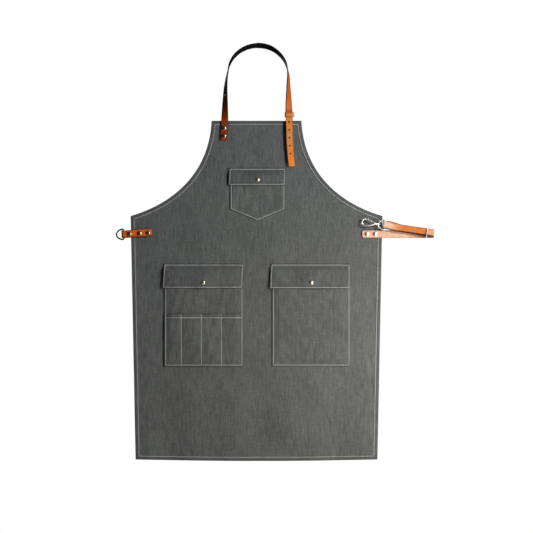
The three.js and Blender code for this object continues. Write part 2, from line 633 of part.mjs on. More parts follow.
function hook() {
  const hookFrame = new THREE.Group();
  const outward = ALONG.clone().negate();
  const u = outward.multiplyScalar(Math.cos(HOOK_LEAN)).addScaledVector(BACK, Math.sin(HOOK_LEAN));
  const w = u.clone().cross(TILTED);
  hookFrame.quaternion.setFromRotationMatrix(new THREE.Matrix4().makeBasis(u, TILTED, w));
  hookFrame.position.copy(onUpperRun(UPPER_RUN.x, RUN_DEPTHS.middle + WRAP_RADIUS, EYE_LIFT));
  apron.add(hookFrame);

  const eyeWire = wireStock(ringShape(EYE.reach, EYE.height, EYE_WIRE), EYE_WIRE);
  const boss = turnedAlong([[0, BOSS.start], [BOSS.radius - 0.2, BOSS.start],
    [BOSS.radius, BOSS.start + 0.6], [BOSS.radius, BOSS.end - 0.6], [BOSS.radius - 0.2, BOSS.end],
    [0, BOSS.end]]);
  const stemHole = new THREE.CylinderGeometry(STEM_HOLE, STEM_HOLE, 12, 12).rotateZ(Math.PI / 2);
  stemHole.translate((BOSS.start + NECK.start) / 2, 0, 0);
  // the ring's bow is drawn towards -x, so the eye is turned half round its bar
  add('hook_eye', cut(join(eyeWire.rotateY(Math.PI), boss), stemHole), 'steel', hookFrame);

  const stem = turnedAlong([[0, STEM.head], [1.6, STEM.head + 0.1], [2.4, STEM.head + 0.8],
    [2.4, STEM.head + 1.8], [2, STEM.head + 2.3], [STEM.radius, STEM.head + 2.3],
    [STEM.radius, STEM.end], [0, STEM.end]]);
  add('hook_swivel_stem', stem, 'steel', hookFrame);

  const middle = (NECK.start + NECK.end) / 2;
  const block = turnedAlong([[0, NECK.start], [NECK.radius - 0.6, NECK.start],
    [NECK.radius, NECK.start + 1], [NECK.radius, NECK.end - 1], [NECK.radius - 0.6, NECK.end],
    [0, NECK.end]]);
  const claw = wireStock(strip(HOOK_LINE, HOOK_WIRE + 0.8, HOOK_WIRE), HOOK_WIRE);
  const slot = boxAt([6.4, 7.2, 2.6], [middle + 2.4, 2.6, 0]);
  const stemSocket = new THREE.CylinderGeometry(STEM_HOLE, STEM_HOLE, 4, 12).rotateZ(Math.PI / 2);
  stemSocket.translate(STEM.end + GAP - 2, 0, 0);
  const pinHole = new THREE.CylinderGeometry(GATE_PIN_RADIUS + GAP, GATE_PIN_RADIUS + GAP, 12, 12);
  pinHole.rotateX(Math.PI / 2).translate(GATE_PIVOT.u, GATE_PIVOT.v, 0);
  const bodySolid = cut(join(block, claw), slot, stemSocket, pinHole, gateSweep());
  add('hook_body', bodySolid, 'steel', hookFrame);

  const lever = wireStock(strip(GATE_LINE, 2.6, 2.8), 2);
  const root = new THREE.CylinderGeometry(1.9, 1.9, 2, 14).rotateX(Math.PI / 2);
  root.translate(GATE_PIVOT.u, GATE_PIVOT.v, 0);
  const thumb = new THREE.CylinderGeometry(1.5, 1.9, 2.4, 12).translate(37.4, 8, 0);
  const springSeat = new THREE.CylinderGeometry(2.3, 2.3, 2, 14).rotateX(Math.PI / 2);
  springSeat.translate(GATE_PIVOT.u, GATE_PIVOT.v, 1.1);
  add('hook_gate', cut(join(lever, root, thumb), pinHole, springSeat), 'steel', hookFrame);

  const pin = new THREE.CylinderGeometry(GATE_PIN_RADIUS, GATE_PIN_RADIUS, 6.6, 12).rotateX(Math.PI / 2);
  add('hook_gate_pin', pin.translate(GATE_PIVOT.u, GATE_PIVOT.v, 0), 'steel', hookFrame);

  // the torsion spring beside the gate's root, as the plain ring that its coil fills
  const coil = [[1.2, 0.4], [1.9, 0.4], [1.9, 1.1], [1.2, 1.1], [1.2, 0.4]];
  const spring = new THREE.LatheGeometry(coil.map(([radius, at]) => new THREE.Vector2(radius, at)), ROUND);
  spring.rotateX(Math.PI / 2).translate(GATE_PIVOT.u, GATE_PIVOT.v, 0);
  add('hook_gate_spring', spring, 'steel', hookFrame);
}

// The space that the gate's end needs, cut out of the tip of the claw.
function gateSweep() {
  return boxAt([1.2, 6, 6], [40.9, 7, 0]);
}

// ---------------------------------------------------------------- assembly

apronBody();

pocket('chest', {
  box: [-58.2, 62.8, -195],
  flapBox: [-60.4, 64.2, -104.6, 38],
  snapAt: [2.2, -130],
  point: 25.4,
});
pocket('left', {
  box: [-203.5, -29.9, -542.4],
  flapBox: [-204.7, -28.1, -316.4, 53.6],
  snapAt: [-118.3, -357.8],
});
pocket('right', {
  box: [35, 206.9, -542.4],
  flapBox: [32.1, 206.9, -316.4, 54.2],
  snapAt: [120.6, -357.8],
});
toolPanel(-203.5, -29.9, -542.4);

neckStrap();
LEFT_RIVETS.forEach((z, i) => {
  rivet(`neck_strap_rivet_${i + 1}`, LEFT_RIVET_X, z, -HEM / 2, LAID + LEATHER);
});
neckTab();
TAB_RIVETS.forEach((z, i) => rivet(`neck_tab_rivet_${i + 1}`, RIGHT_TAB_X, z, -HEM / 2, LAID + LEATHER));
neckKeeper();

ringTab();
waistStrap();
slider();
hook();

// The strap's underside at its top is where the peg holds it.
const apexLean = Math.atan(2 * (APEX_SETBACK + LEFT_NECK_DEPTH) / APEX_HEIGHT);
apron.position.y = -(APEX_SETBACK - Math.sin(apexLean) * LEATHER / 2);
apron.position.z = -(APEX_HEIGHT - Math.cos(apexLean) * LEATHER / 2);

const part = new THREE.Group();
part.add(apron);
export default part;
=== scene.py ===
import math

import bmesh
import bpy
import numpy as np
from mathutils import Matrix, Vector, kdtree


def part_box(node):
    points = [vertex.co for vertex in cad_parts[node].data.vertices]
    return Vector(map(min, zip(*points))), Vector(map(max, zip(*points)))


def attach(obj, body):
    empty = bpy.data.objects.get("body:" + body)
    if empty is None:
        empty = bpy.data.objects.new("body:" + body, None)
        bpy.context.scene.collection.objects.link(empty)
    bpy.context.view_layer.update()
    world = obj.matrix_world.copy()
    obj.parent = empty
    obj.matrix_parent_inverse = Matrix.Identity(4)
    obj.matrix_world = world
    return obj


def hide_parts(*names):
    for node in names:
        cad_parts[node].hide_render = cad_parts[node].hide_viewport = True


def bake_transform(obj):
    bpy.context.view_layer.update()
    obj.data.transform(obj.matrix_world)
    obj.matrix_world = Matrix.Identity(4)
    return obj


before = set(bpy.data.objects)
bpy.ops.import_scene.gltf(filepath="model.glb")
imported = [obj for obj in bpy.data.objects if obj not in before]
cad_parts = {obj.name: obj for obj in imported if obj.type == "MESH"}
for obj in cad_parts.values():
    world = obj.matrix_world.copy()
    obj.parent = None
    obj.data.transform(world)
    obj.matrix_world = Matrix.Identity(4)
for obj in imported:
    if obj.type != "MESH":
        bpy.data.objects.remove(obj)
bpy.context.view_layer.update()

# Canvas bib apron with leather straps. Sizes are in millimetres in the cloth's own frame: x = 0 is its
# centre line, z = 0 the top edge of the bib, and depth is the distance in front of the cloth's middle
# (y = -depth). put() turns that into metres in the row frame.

MM = 0.001
TAU = 2 * math.pi
CLOTH_LOW, CLOTH_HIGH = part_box("apron_body")
ORIGIN = np.array([0, (CLOTH_LOW.y + CLOTH_HIGH.y) / 2, CLOTH_HIGH.z])
RNG = np.random.default_rng(11)

# ---------------------------------------------------------------- camera

CAMERA_DISTANCE = 8.0
PICTURE_WIDTH = 1.1792  # what the picture spans at the cloth, in metres
CAMERA_X, CAMERA_Z = 22.1, -321.9

camera_data = bpy.data.cameras.new("camera")
camera_data.sensor_width = 36
camera_data.lens = camera_data.sensor_width * CAMERA_DISTANCE / PICTURE_WIDTH
camera = bpy.data.objects.new("camera", camera_data)
bpy.context.collection.objects.link(camera)
camera.location = (CAMERA_X * MM, ORIGIN[1] - CAMERA_DISTANCE, ORIGIN[2] + CAMERA_Z * MM)
camera.rotation_euler = (math.pi / 2, 0, 0)
bpy.context.scene.camera = camera

# ---------------------------------------------------------------- small helpers


def smooth(start, end, value):
    share = np.clip((value - start) / (end - start), 0, 1)
    return share * share * (3 - 2 * share)


def hill(value, centre, width):
    """1 at the centre, falling away on both sides."""
    return np.exp(-(((value - centre) / width) ** 2))


def wave_table(count, shortest, longest):
    """The lengths, directions and phases of a ripple's waves."""
    return [RNG.uniform(low, high, count) for low, high in ((shortest, longest), (0, math.pi), (0, TAU))]


def ripple(table, x, z):
    """A smooth uneven field of about -1 to 1."""
    total = 0
    for length, angle, phase in zip(*table):
        total = total + np.sin(TAU * (x * math.cos(angle) + z * math.sin(angle)) / length + phase)
    return total / math.sqrt(len(table[0]))


def smooth_path(points, step, closed=False):
    """Points every step along a smooth curve through the given points."""
    points = np.asarray(points, float)
    if closed:
        points = np.vstack([points, points[:1]])
    spans = np.linalg.norm(np.diff(points, axis=0), axis=1)
    knots = np.concatenate([[0], np.cumsum(spans)])
    slopes = np.diff(points, axis=0) / spans[:, None]
    tangents = np.empty_like(points)
    weight = (spans[1:] / (spans[1:] + spans[:-1]))[:, None]
    tangents[1:-1] = weight * slopes[:-1] + (1 - weight) * slopes[1:]
    if closed:
        share = spans[0] / (spans[0] + spans[-1])
        tangents[0] = tangents[-1] = share * slopes[-1] + (1 - share) * slopes[0]
    else:
        tangents[0], tangents[-1] = slopes[0], slopes[-1]
    count = max(2, round(knots[-1] / step))
    along = np.linspace(0, knots[-1], count + 1)
    index = np.clip(np.searchsorted(knots, along, side="right") - 1, 0, len(spans) - 1)
    t = ((along - knots[index]) / spans[index])[:, None]
    span = spans[index][:, None]
    curve = (
        (2 * t**3 - 3 * t**2 + 1) * points[index]
        + (t**3 - 2 * t**2 + t) * span * tangents[index]
        + (3 * t**2 - 2 * t**3) * points[index + 1]
        + (t**3 - t**2) * span * tangents[index + 1]
    )
    return curve[:-1] if closed else curve


def unit(vectors):
    return vectors / np.linalg.norm(vectors, axis=-1, keepdims=True)


def put(name, points, faces, material, body, nodes=(), slot=None, sharp=None, tint=(1, 1, 1), rest=None):
    """One closed mesh piece. tint is its colour, one or one a point; rest is where its finish is read."""
    points = np.asarray(points, float)
    mesh = bpy.data.meshes.new(name)
    mesh.from_pydata((points * MM + ORIGIN).tolist(), [], [list(map(int, face)) for face in faces])
    shape = bmesh.new()
    shape.from_mesh(mesh)
    bmesh.ops.recalc_face_normals(shape, faces=shape.faces)
    shape.to_mesh(mesh)
    shape.free()
    mesh.shade_smooth()
    if sharp:
        mesh.set_sharp_from_angle(angle=math.radians(sharp))
    finish_attributes(mesh, tint, points if rest is None else rest)
    mesh.materials.append(material)
    if material is LEATHER_FINISH:
        mesh.materials.append(MATTE_LEATHER)
        matte_dark_faces(mesh)
    piece = bpy.data.objects.new(name, mesh)
    bpy.context.collection.objects.link(piece)
    if body:
        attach(piece, body)
    if nodes:
        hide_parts(*nodes)
    return piece


def finish_attributes(mesh, tint, rest):
    count = len(mesh.vertices)
    colours = np.ones((count, 4))
    colours[:, :3] = tint
    mesh.color_attributes.new("tint", "FLOAT_COLOR", "POINT").data.foreach_set("color", colours.ravel())
    places = np.asarray(rest, float) * MM
    mesh.attributes.new("rest", "FLOAT_VECTOR", "POINT").data.foreach_set("vector", places.ravel())


def matte_dark_faces(mesh):
    """Black flesh sides, burnished edges and faces painted near black as shade take the matte finish."""
    colours = np.empty(len(mesh.vertices) * 4)
    mesh.color_attributes["tint"].data.foreach_get("color", colours)
    red = colours[::4]
    for face in mesh.polygons:
        face.material_index = int(red[list(face.vertices)].mean() < MATTE_RED)


def join_shapes(*shapes):
    """Several (points, faces) as one."""
    points, faces, start = [], [], 0
    for some_points, some_faces in shapes:
        points.append(np.asarray(some_points, float))
        faces.extend([[start + index for index in face] for face in some_faces])
        start += len(some_points)
    return np.vstack(points), faces


def band_faces(rows, columns, wrap_rows=False, caps=False):
    """Quads between rings of points, and with caps a face over each end."""
    faces = []
    for row in range(rows if wrap_rows else rows - 1):
        here, below = row * columns, (row + 1) % rows * columns
        for column in range(columns):
            beside = (column + 1) % columns
            faces.append([here + column, here + beside, below + beside, below + column])
    if caps:
        faces.append(list(range(columns))[::-1])
        faces.append(list(range((rows - 1) * columns, rows * columns)))
    return faces


def lathe(profile, centre, axis=(0, -1, 0), sides=44):
    """A turned shape. Its profile is [radius, height along the axis], from axis to axis or a closed ring."""
    axis = unit(np.array(axis, float))
    side = unit(np.cross(axis, (0.0, 0.0, 1.0) if abs(axis[2]) < 0.9 else (1.0, 0.0, 0.0)))
    other = np.cross(axis, side)
    turns = np.linspace(0, TAU, sides, endpoint=False)
    ring = np.cos(turns)[:, None] * side + np.sin(turns)[:, None] * other
    on_axis = profile[0][0] == 0
    inner = profile[1:-1] if on_axis else profile
    points = np.vstack([np.array(centre) + axis * height + ring * radius for radius, height in inner])
    faces = band_faces(len(inner), sides, wrap_rows=not on_axis)
    if on_axis:
        first, last = len(points), len(points) + 1
        ends = [np.array(centre) + axis * profile[0][1], np.array(centre) + axis * profile[-1][1]]
        points = np.vstack([points, ends])
        base = (len(inner) - 1) * sides
        for column in range(sides):
            beside = (column + 1) % sides
            faces.append([first, beside, column])
            faces.append([last, base + column, base + beside])
    return points, faces


def path_length(path):
    """How far along the path each of its points is."""
    return np.concatenate([[0], np.cumsum(np.linalg.norm(np.diff(path, axis=0), axis=1))])


def path_directions(path, closed):
    return unit(np.roll(path, -1, 0) - np.roll(path, 1, 0) if closed else np.gradient(path, axis=0))


def tube(path, radius, flat_axis, sides=14, closed=False, flat=1.0):
    """A round wire along a path; radius may be one a point. flat squashes it along flat_axis."""
    path = np.asarray(path, float)
    count = len(path)
    radius = np.broadcast_to(radius, count)
    tangents = path_directions(path, closed)
    side = unit(np.cross(tangents, np.array(flat_axis, float)))
    up = np.cross(side, tangents)
    turns = np.linspace(0, TAU, sides, endpoint=False)[None, :, None]
    ring = side[:, None, :] * np.cos(turns) + up[:, None, :] * np.sin(turns) * flat
    points = (path[:, None, :] + ring * radius[:, None, None]).reshape(-1, 3)
    return points, band_faces(count, sides, wrap_rows=closed, caps=not closed)


# ---------------------------------------------------------------- finishes


def node(tree, kind, settings=None, **inputs):
    made = tree.nodes.new("ShaderNode" + kind)
    for key, value in (settings or {}).items():
        setattr(made, key, value)
    for key, value in inputs.items():
        socket = made.inputs[int(key[1:])] if key[1:].isdigit() else made.inputs[key.replace("_", " ")]
        if isinstance(value, bpy.types.NodeSocket):
            tree.links.new(value, socket)
        else:
            socket.default_value = value
    return made


def calc(tree, operation, first, second=0.0, third=0.0):
    made = node(tree, "Math", {"operation": operation}, i0=first, i1=second, i2=third)
    return made.outputs[0]


def product(tree, first, *others):
    for other in others:
        first = calc(tree, "MULTIPLY", first, other)
    return first


def remap(tree, value, low, high, from_low=0.0, from_high=1.0):
    made = node(tree, "MapRange", None, i0=value, i1=from_low, i2=from_high, i3=low, i4=high)
    return made.outputs[0]


def shading(tree, *layers):
    """The product of several (value, low, high), each remapped."""
    return product(tree, *(remap(tree, *layer) for layer in layers))


def cloud(tree, place, grain, detail=2.0, roughness=0.5):
    """Soft noise whose grains have that size in millimetres along x, y and z."""
    scale = [1 / (size * MM) for size in grain]
    moved = node(tree, "Mapping", {"vector_type": "POINT"}, Vector=place, Scale=scale)
    made = node(tree, "TexNoise", None, Vector=moved.outputs[0], Scale=1.0, Detail=detail,
                Roughness=roughness)
    return made.outputs[0]


def start_finish(name):
    material = bpy.data.materials.new(name)
    material.use_nodes = True
    tree = material.node_tree
    tree.nodes.clear()
    place = node(tree, "Attribute", {"attribute_name": "rest"}).outputs["Vector"]
    tint = node(tree, "Attribute", {"attribute_name": "tint"}).outputs["Color"]
    return material, tree, place, tint


def end_finish(tree, colour, roughness, height, bump, **shader_values):
    bumped = node(tree, "Bump", None, Strength=1.0, Distance=bump * MM, Height=height)
    shader = node(tree, "BsdfPrincipled", None, Base_Color=colour, Roughness=roughness,
                  Normal=bumped.outputs[0], **shader_values)
    output = node(tree, "OutputMaterial")
    tree.links.new(shader.outputs[0], output.inputs[0])


def times(tree, colour, factor):
    made = node(tree, "VectorMath", {"operation": "SCALE"}, i0=colour, Scale=factor)
    return made.outputs[0]


def wave(tree, value, pitch):
    """A sine of 0 to 1 with that pitch in millimetres."""
    turned = calc(tree, "SINE", product(tree, value, TAU / (pitch * MM)))
    return calc(tree, "MULTIPLY_ADD", turned, 0.5, 0.5)


YARN_DRIFT = 0.0016  # how far the yarns wander, in metres
WARP_PITCH, WEFT_PITCH = 0.78, 0.84
TWILL_LEAN = 0.62


def canvas_finish():
    """Cotton canvas: a fine twill of uneven yarns, slubs running down the cloth, and faint clouding."""
    material, tree, place, tint = start_finish("canvas")
    split = node(tree, "SeparateXYZ", None, Vector=place)
    yarn_x, yarn_z = (
        calc(tree, "ADD", split.outputs[axis], product(tree, cloud(tree, place, grain), YARN_DRIFT))
        for axis, grain in ((0, (9, 9, 40)), (2, (40, 9, 9)))
    )
    warp, weft = wave(tree, yarn_x, WARP_PITCH), wave(tree, yarn_z, WEFT_PITCH)
    diagonal = wave(tree, calc(tree, "ADD", yarn_x, product(tree, yarn_z, TWILL_LEAN)), 2 * WARP_PITCH)
    weave = calc(tree, "MULTIPLY_ADD", product(tree, warp, weft), 0.55, product(tree, diagonal, 0.45))
    heather = cloud(tree, place, (0.9, 3, 7), 3.0, 0.6)
    slub = cloud(tree, place, (2.8, 6, 30), 3.0, 0.62)
    cross = cloud(tree, place, (24, 6, 2.6), 2.0, 0.5)
    blotch = cloud(tree, place, (12, 12, 22), 3.0, 0.62)
    speck = cloud(tree, place, (2.4, 2.4, 2.4), 3.0, 0.7)
    cloudy = cloud(tree, place, (70, 70, 110), 2.0, 0.5)
    shade = shading(tree, (weave, 0.80, 1.18), (heather, 0.50, 1.54), (slub, 0.42, 1.60), (cross, 0.78, 1.22),
                    (blotch, 0.86, 1.14), (speck, 0.45, 1.58), (cloudy, 0.86, 1.14))
    height = calc(tree, "MULTIPLY_ADD", weave, 0.6, product(tree, heather, 0.7))
    height = calc(tree, "ADD", height, product(tree, slub, 0.8))
    end_finish(tree, times(tree, tint, shade), remap(tree, speck, 0.84, 0.98), height, 0.22,
               Sheen_Weight=0.12, Sheen_Roughness=0.45, Specular_IOR_Level=0.2)
    return material


def thread_finish():
    """Pale twisted sewing thread."""
    material, tree, place, tint = start_finish("thread")
    split = node(tree, "SeparateXYZ", None, Vector=place)
    twist = wave(tree, calc(tree, "ADD", split.outputs[0], split.outputs[2]), 0.5)
    fuzz = cloud(tree, place, (0.35, 0.35, 0.35), 2.0, 0.6)
    worn = cloud(tree, place, (14, 14, 14), 2.0, 0.6)
    shade = shading(tree, (twist, 0.8, 1.08), (worn, 0.62, 1.3))
    height = calc(tree, "ADD", twist, product(tree, fuzz, 0.5))
    end_finish(tree, times(tree, tint, shade), remap(tree, fuzz, 0.6, 0.85), height, 0.06,
               Sheen_Weight=0.1, Sheen_Roughness=0.4)
    return material


def leather_finish(name, specular, coat, least_rough):
    """Waxed vegetable tanned leather: pores, creases and clouding; its colour comes from the tint."""
    material, tree, place, tint = start_finish(name)
    cells = node(tree, "Mapping", None, Vector=place, Scale=(1300, 1300, 1300))
    pores = node(tree, "TexVoronoi", {"feature": "F1"}, Vector=cells.outputs[0], Scale=1.0).outputs[0]
    fine = cloud(tree, place, (0.5, 0.5, 0.5), 3.0, 0.65)
    creases = cloud(tree, place, (9, 1.4, 1.4), 3.0, 0.6)
    mottle = cloud(tree, place, (11, 5, 5), 3.0, 0.6)
    scuffs = cloud(tree, place, (2.2, 0.5, 0.5), 4.0, 0.7)
    shade = shading(tree, (mottle, 0.66, 1.3), (creases, 0.84, 1.14), (pores, 1.06, 0.88),
                    (scuffs, 0.88, 1.12))
    height = calc(tree, "MULTIPLY_ADD", pores, -0.6, product(tree, fine, 0.5))
    height = calc(tree, "ADD", height, product(tree, creases, 1.1))
    rough = calc(tree, "ADD", remap(tree, mottle, least_rough, least_rough + 0.16), product(tree, fine, 0.08))
    end_finish(tree, times(tree, tint, shade), rough, height, 0.16,
               Coat_Weight=coat, Coat_Roughness=0.3, Specular_IOR_Level=specular)
    return material


def metal_finish(name, roughness, stain):
    """Plated metal, polished, with hairline scratches and a little darkening."""
    material, tree, place, tint = start_finish(name)
    tarnish = cloud(tree, place, (3.2, 3.2, 3.2), 4.0, 0.65)
    scratch = cloud(tree, place, (4, 0.12, 0.12), 2.0, 0.6)
    dents = cloud(tree, place, (1.6, 1.6, 1.6), 2.0, 0.5)
    shade = remap(tree, tarnish, 1 - stain, 1.0, 0.35, 0.62)
    rough = calc(tree, "ADD", remap(tree, tarnish, roughness * 1.5, roughness * 0.8, 0.35, 0.62),
                 product(tree, scratch, 0.1))
    height = calc(tree, "ADD", dents, product(tree, scratch, 0.15))
    end_finish(tree, times(tree, tint, shade), rough, height, 0.03, Metallic=1.0)
    return material


CANVAS = canvas_finish()
THREAD = thread_finish()
LEATHER_FINISH = leather_finish("leather", 0.18, 0.02, 0.36)
MATTE_LEATHER = leather_finish("matte_leather", 0.03, 0.0, 0.76)
MATTE_RED = 0.09  # a face whose red is less than this counts as dark
METAL = metal_finish("plated_metal", 0.2, 0.35)
SATIN_METAL = metal_finish("satin_metal", 0.27, 0.3)
DARK_METAL = metal_finish("dark_plated_metal", 0.24, 0.5)

CANVAS_COLOUR = np.array([0.098, 0.1025, 0.1005])
THREAD_COLOUR = np.array([0.86, 0.87, 0.84])
TAN = np.array([0.54, 0.132, 0.010])
WAIST_TAN = np.array([0.52, 0.145, 0.024])
# painted sheen: the waist strap's paler tan
SHEEN_PAINTED_TAN = np.array([0.66, 0.40, 0.27])
RED_TAN = np.array([0.44, 0.080, 0.012])
BROWN = np.array([0.24, 0.035, 0.004])
# a darker tan than the tail's
UPPER_RIGHT_TAN = np.array([0.50, 0.096, 0.002])  # the neck strap's upper right
BRIGHT_TAN = np.array([0.75, 0.22, 0.03])
PALE_MIDTAIL_TAN = np.array([0.62, 0.25, 0.08])
RING_TAN = np.array([0.72, 0.135, 0.014])
KEEPER_TAN = np.array([0.66, 0.20, 0.05])
# near black: the dye of flesh sides and edges, and also painted shade on the neck strap's left half and on
# the waist strap's lower edge
BLACK_DYE_AND_SHADE = np.array([0.008, 0.006, 0.006])
BRASS = (0.80, 0.62, 0.34)
# the snap caps' brass, paler than the brass of the snaps' other parts: a painted brighter highlight
BRIGHTENED_CAP_BRASS = (1.0, 0.83, 0.50)
RIVET_BRASS = (0.55, 0.42, 0.27)
NICKEL = (0.92, 0.89, 0.84)
DARK_STEEL = (0.040, 0.037, 0.037)


def blend_colours(first, second, share):
    share = np.asarray(share)[..., None]
    return np.asarray(first) * (1 - share) + np.asarray(second) * share


# ---------------------------------------------------------------- body cloth

BIB_HALF, WAIST_HALF, HEM_HALF = 99, 278, 267
WAIST_DROP, BODY_LENGTH = 210.5, 750
HEM_STITCH = 7.4  # from the edge
HEM_FOLD = 9.0
PLAIN_HALF = 0.5  # half the cloth's thickness
HEM_EXTRA = 0.6  # what the folded hem adds on each side
HEM_BOW = 3.4

SLOW_WAVES = wave_table(7, 90, 210)
CRUMPLE = wave_table(12, 16, 60)
# where rivets, studs and snaps hold the cloth flat
HARDWARE = [(-72, -10), (-72, -40), (72, 0), (72, -40), (-262, -248), (-235, -246), (252, -249), (232, -249),
            (2.2, -130), (-118.3, -357.8), (120.6, -357.8)]


def armhole():
    """The curved edge from the bib's corner to the waist corner, right side."""
    t = np.linspace(0, 1, 140)[:, None]
    corners = ((BIB_HALF, 0), (104, -110), (177, -181), (WAIST_HALF, -WAIST_DROP))
    a, b, c, d = (np.array(corner, float) for corner in corners)
    return (1 - t) ** 3 * a + 3 * (1 - t) ** 2 * t * b + 3 * (1 - t) * t**2 * c + t**3 * d


ARMHOLE = armhole()
EDGE_X = np.concatenate([ARMHOLE[:, 0], [HEM_HALF]])
EDGE_Z = np.concatenate([ARMHOLE[:, 1], [-BODY_LENGTH]])


def edge_x(z):
    return np.interp(-np.asarray(z, float), -EDGE_Z, EDGE_X)


def dense(points, step):
    """A polyline's points every step or less."""
    made = [np.asarray(points[0], float)]
    for a, b in zip(points[:-1], points[1:]):
        a, b = np.asarray(a, float), np.asarray(b, float)
        count = max(1, math.ceil(np.linalg.norm(b - a) / step))
        made.extend(a + (b - a) * i / count for i in range(1, count + 1))
    return np.array(made)


RIGHT_SIDE = np.vstack([ARMHOLE, [[HEM_HALF, -BODY_LENGTH]]])
OUTLINE_STEP = 0.8
OUTLINE = dense(np.vstack([RIGHT_SIDE, RIGHT_SIDE[::-1] * [-1, 1], RIGHT_SIDE[:1]]), OUTLINE_STEP)[:-1]
OUTLINE_TREE = kdtree.KDTree(len(OUTLINE))
for number, (px, pz) in enumerate(OUTLINE):
    OUTLINE_TREE.insert((px, pz, 0), number)
OUTLINE_TREE.balance()


def to_edge(x, z):
    """Distance to the body's edge, and how far round the outline that is."""
    found = [OUTLINE_TREE.find((a, b, 0))[1:] for a, b in zip(x.ravel(), z.ravel())]
    index, distance = (np.array(column, float).reshape(x.shape) for column in zip(*found))
    return distance, index * OUTLINE_STEP


def sag(x, z):
    """How far the hanging cloth stands off its flat plane."""
    skirt = smooth(-400, -750, z)
    folds = 1.7 * np.sin(TAU * (x + 0.10 * z) / 181 + 0.7) + 0.9 * np.sin(TAU * (x - 0.06 * z) / 97 + 2.3)
    near = np.min([np.hypot(x - hx, z - hz) for hx, hz in HARDWARE], axis=0)
    free = smooth(18, 60, near)
    return skirt * folds + free * (1.0 * ripple(SLOW_WAVES, x, z) + 0.27 * ripple(CRUMPLE, x, z))


def body_surface(x, z, side):
    """Depth of the body cloth's front (side 1) or back (side -1)."""
    distance, along = to_edge(x, z)
    folded = 1 - smooth(HEM_FOLD - 0.8, HEM_FOLD + 0.8, distance)
    groove = 0.30 * hill(distance, HEM_STITCH, 1.0)
    rope = np.sin(TAU * along / 10.5) + 0.7 * np.sin(TAU * along / 17.3 + 1)
    pucker = 0.13 * rope * hill(distance, 4.2, 3.6)
    round_off = 0.6 + 0.4 * smooth(0, 1.0, distance)
    half = (PLAIN_HALF + HEM_EXTRA * folded - groove) * round_off
    return sag(x, z) + pucker + side * half


def shell(front, back):
    """Closed cloth between two grids of points, with a rounded rim."""
    rows, columns = front.shape[:2]
    count = rows * columns
    index = np.arange(count).reshape(rows, columns)
    loop = np.concatenate([index[0, :-1], index[:-1, -1], index[-1, :0:-1], index[:0:-1, 0]])
    front, back = front.reshape(-1, 3), back.reshape(-1, 3)
    middle = (front[loop] + back[loop]) / 2
    thick = np.linalg.norm(front[loop] - back[loop], axis=1)
    tangent = np.roll(middle, -1, 0) - np.roll(middle, 1, 0)
    outward = unit(np.column_stack([tangent[:, 2], np.zeros(len(loop)), -tangent[:, 0]]))
    inside = middle.mean(axis=0) - middle
    outward[(outward * inside).sum(axis=1) > 0] *= -1
    rim = middle + outward * thick[:, None] * 0.35
    points = np.vstack([front, back, rim])
    ring = 2 * count + np.arange(len(loop))
    quads = np.stack([index[:-1, :-1], index[:-1, 1:], index[1:, 1:], index[1:, :-1]], -1).reshape(-1, 4)
    following = np.roll(np.arange(len(loop)), -1)
    faces = [
        quads,
        quads[:, ::-1] + count,
        np.column_stack([loop, loop[following], ring[following], ring]),
        np.column_stack([ring, ring[following], loop[following] + count, loop + count]),
    ]
    return points, np.vstack(faces).tolist()


def cloth_shell(surface, x, z):
    """Closed cloth between the front and the back of a surface, over a grid of places."""
    return shell(*(np.dstack([x, -surface(x, z, side), z]) for side in (1, -1)))


def put_canvas(name, points, faces, body, node_name, shade):
    return put(name, points, faces, CANVAS, body, [node_name], "canvas", tint=CANVAS_COLOUR * shade[:, None])


def bow(points):
    """The bottom hem hangs a little lower in its middle than at its corners."""
    share = smooth(-690, -BODY_LENGTH, points[:, 2])
    points[:, 2] += share * (HEM_BOW * (points[:, 0] / HEM_HALF) ** 2 - HEM_BOW / 2)
    return points


INNER_COLUMNS = 134
EDGE_STEPS = np.array([0, 0.7, 1.6, 3.0, 4.6, 5.9, 6.7, 7.4, 8.1, 8.8, 9.8, 11.2, 13.5])


def cloth_rows():
    """Heights of the body cloth's rows of points, closer together where its edge turns."""
    return np.concatenate([
        -EDGE_STEPS,
        np.arange(-17, -150, -3.4),
        np.arange(-150, -WAIST_DROP + 0.8, -1.8),
        -WAIST_DROP - np.array([0, 1.2, 3.0]),
        np.arange(-WAIST_DROP - 6.5, -733, -3.6),
        -BODY_LENGTH + EDGE_STEPS[::-1],
    ])


def apron_cloth():
    z = cloth_rows()
    edge = edge_x(z)
    stretch = np.minimum(np.sqrt(1 + np.gradient(edge, z) ** 2), 3.4)
    rows = []
    for half, wide in zip(edge, stretch):
        steps = half - EDGE_STEPS * wide
        inner = np.linspace(-steps[-1], steps[-1], INNER_COLUMNS)[1:-1]
        rows.append(np.concatenate([-steps, inner, steps[::-1]]))
    x = np.array(rows)
    points, faces = cloth_shell(body_surface, x, np.repeat(z[:, None], x.shape[1], axis=1))
    distance, _ = to_edge(points[:, 0], points[:, 2])
    # darker over the hem band, and a painted shade along the very edge
    shade = 1 - 0.10 * (1 - smooth(HEM_STITCH - 0.5, HEM_STITCH + 0.7, distance))
    shade = shade * (1 - 0.30 * (1 - smooth(0.2, 1.4, distance)))
    return put_canvas("apron_cloth", bow(points), faces, "root", "apron_body", shade)


apron_piece = apron_cloth()

# ---------------------------------------------------------------- stitching

STITCH_PITCH = 4.4
STITCH_LENGTH = 2.3
THREAD_RADIUS = 0.68


def offset_outline(inset):
    tangent = path_directions(OUTLINE, True)
    inward = np.column_stack([tangent[:, 1], -tangent[:, 0]])
    line = OUTLINE + inward * inset
    distance, _ = to_edge(line[:, 0], line[:, 1])
    return line[distance > inset - 0.12]


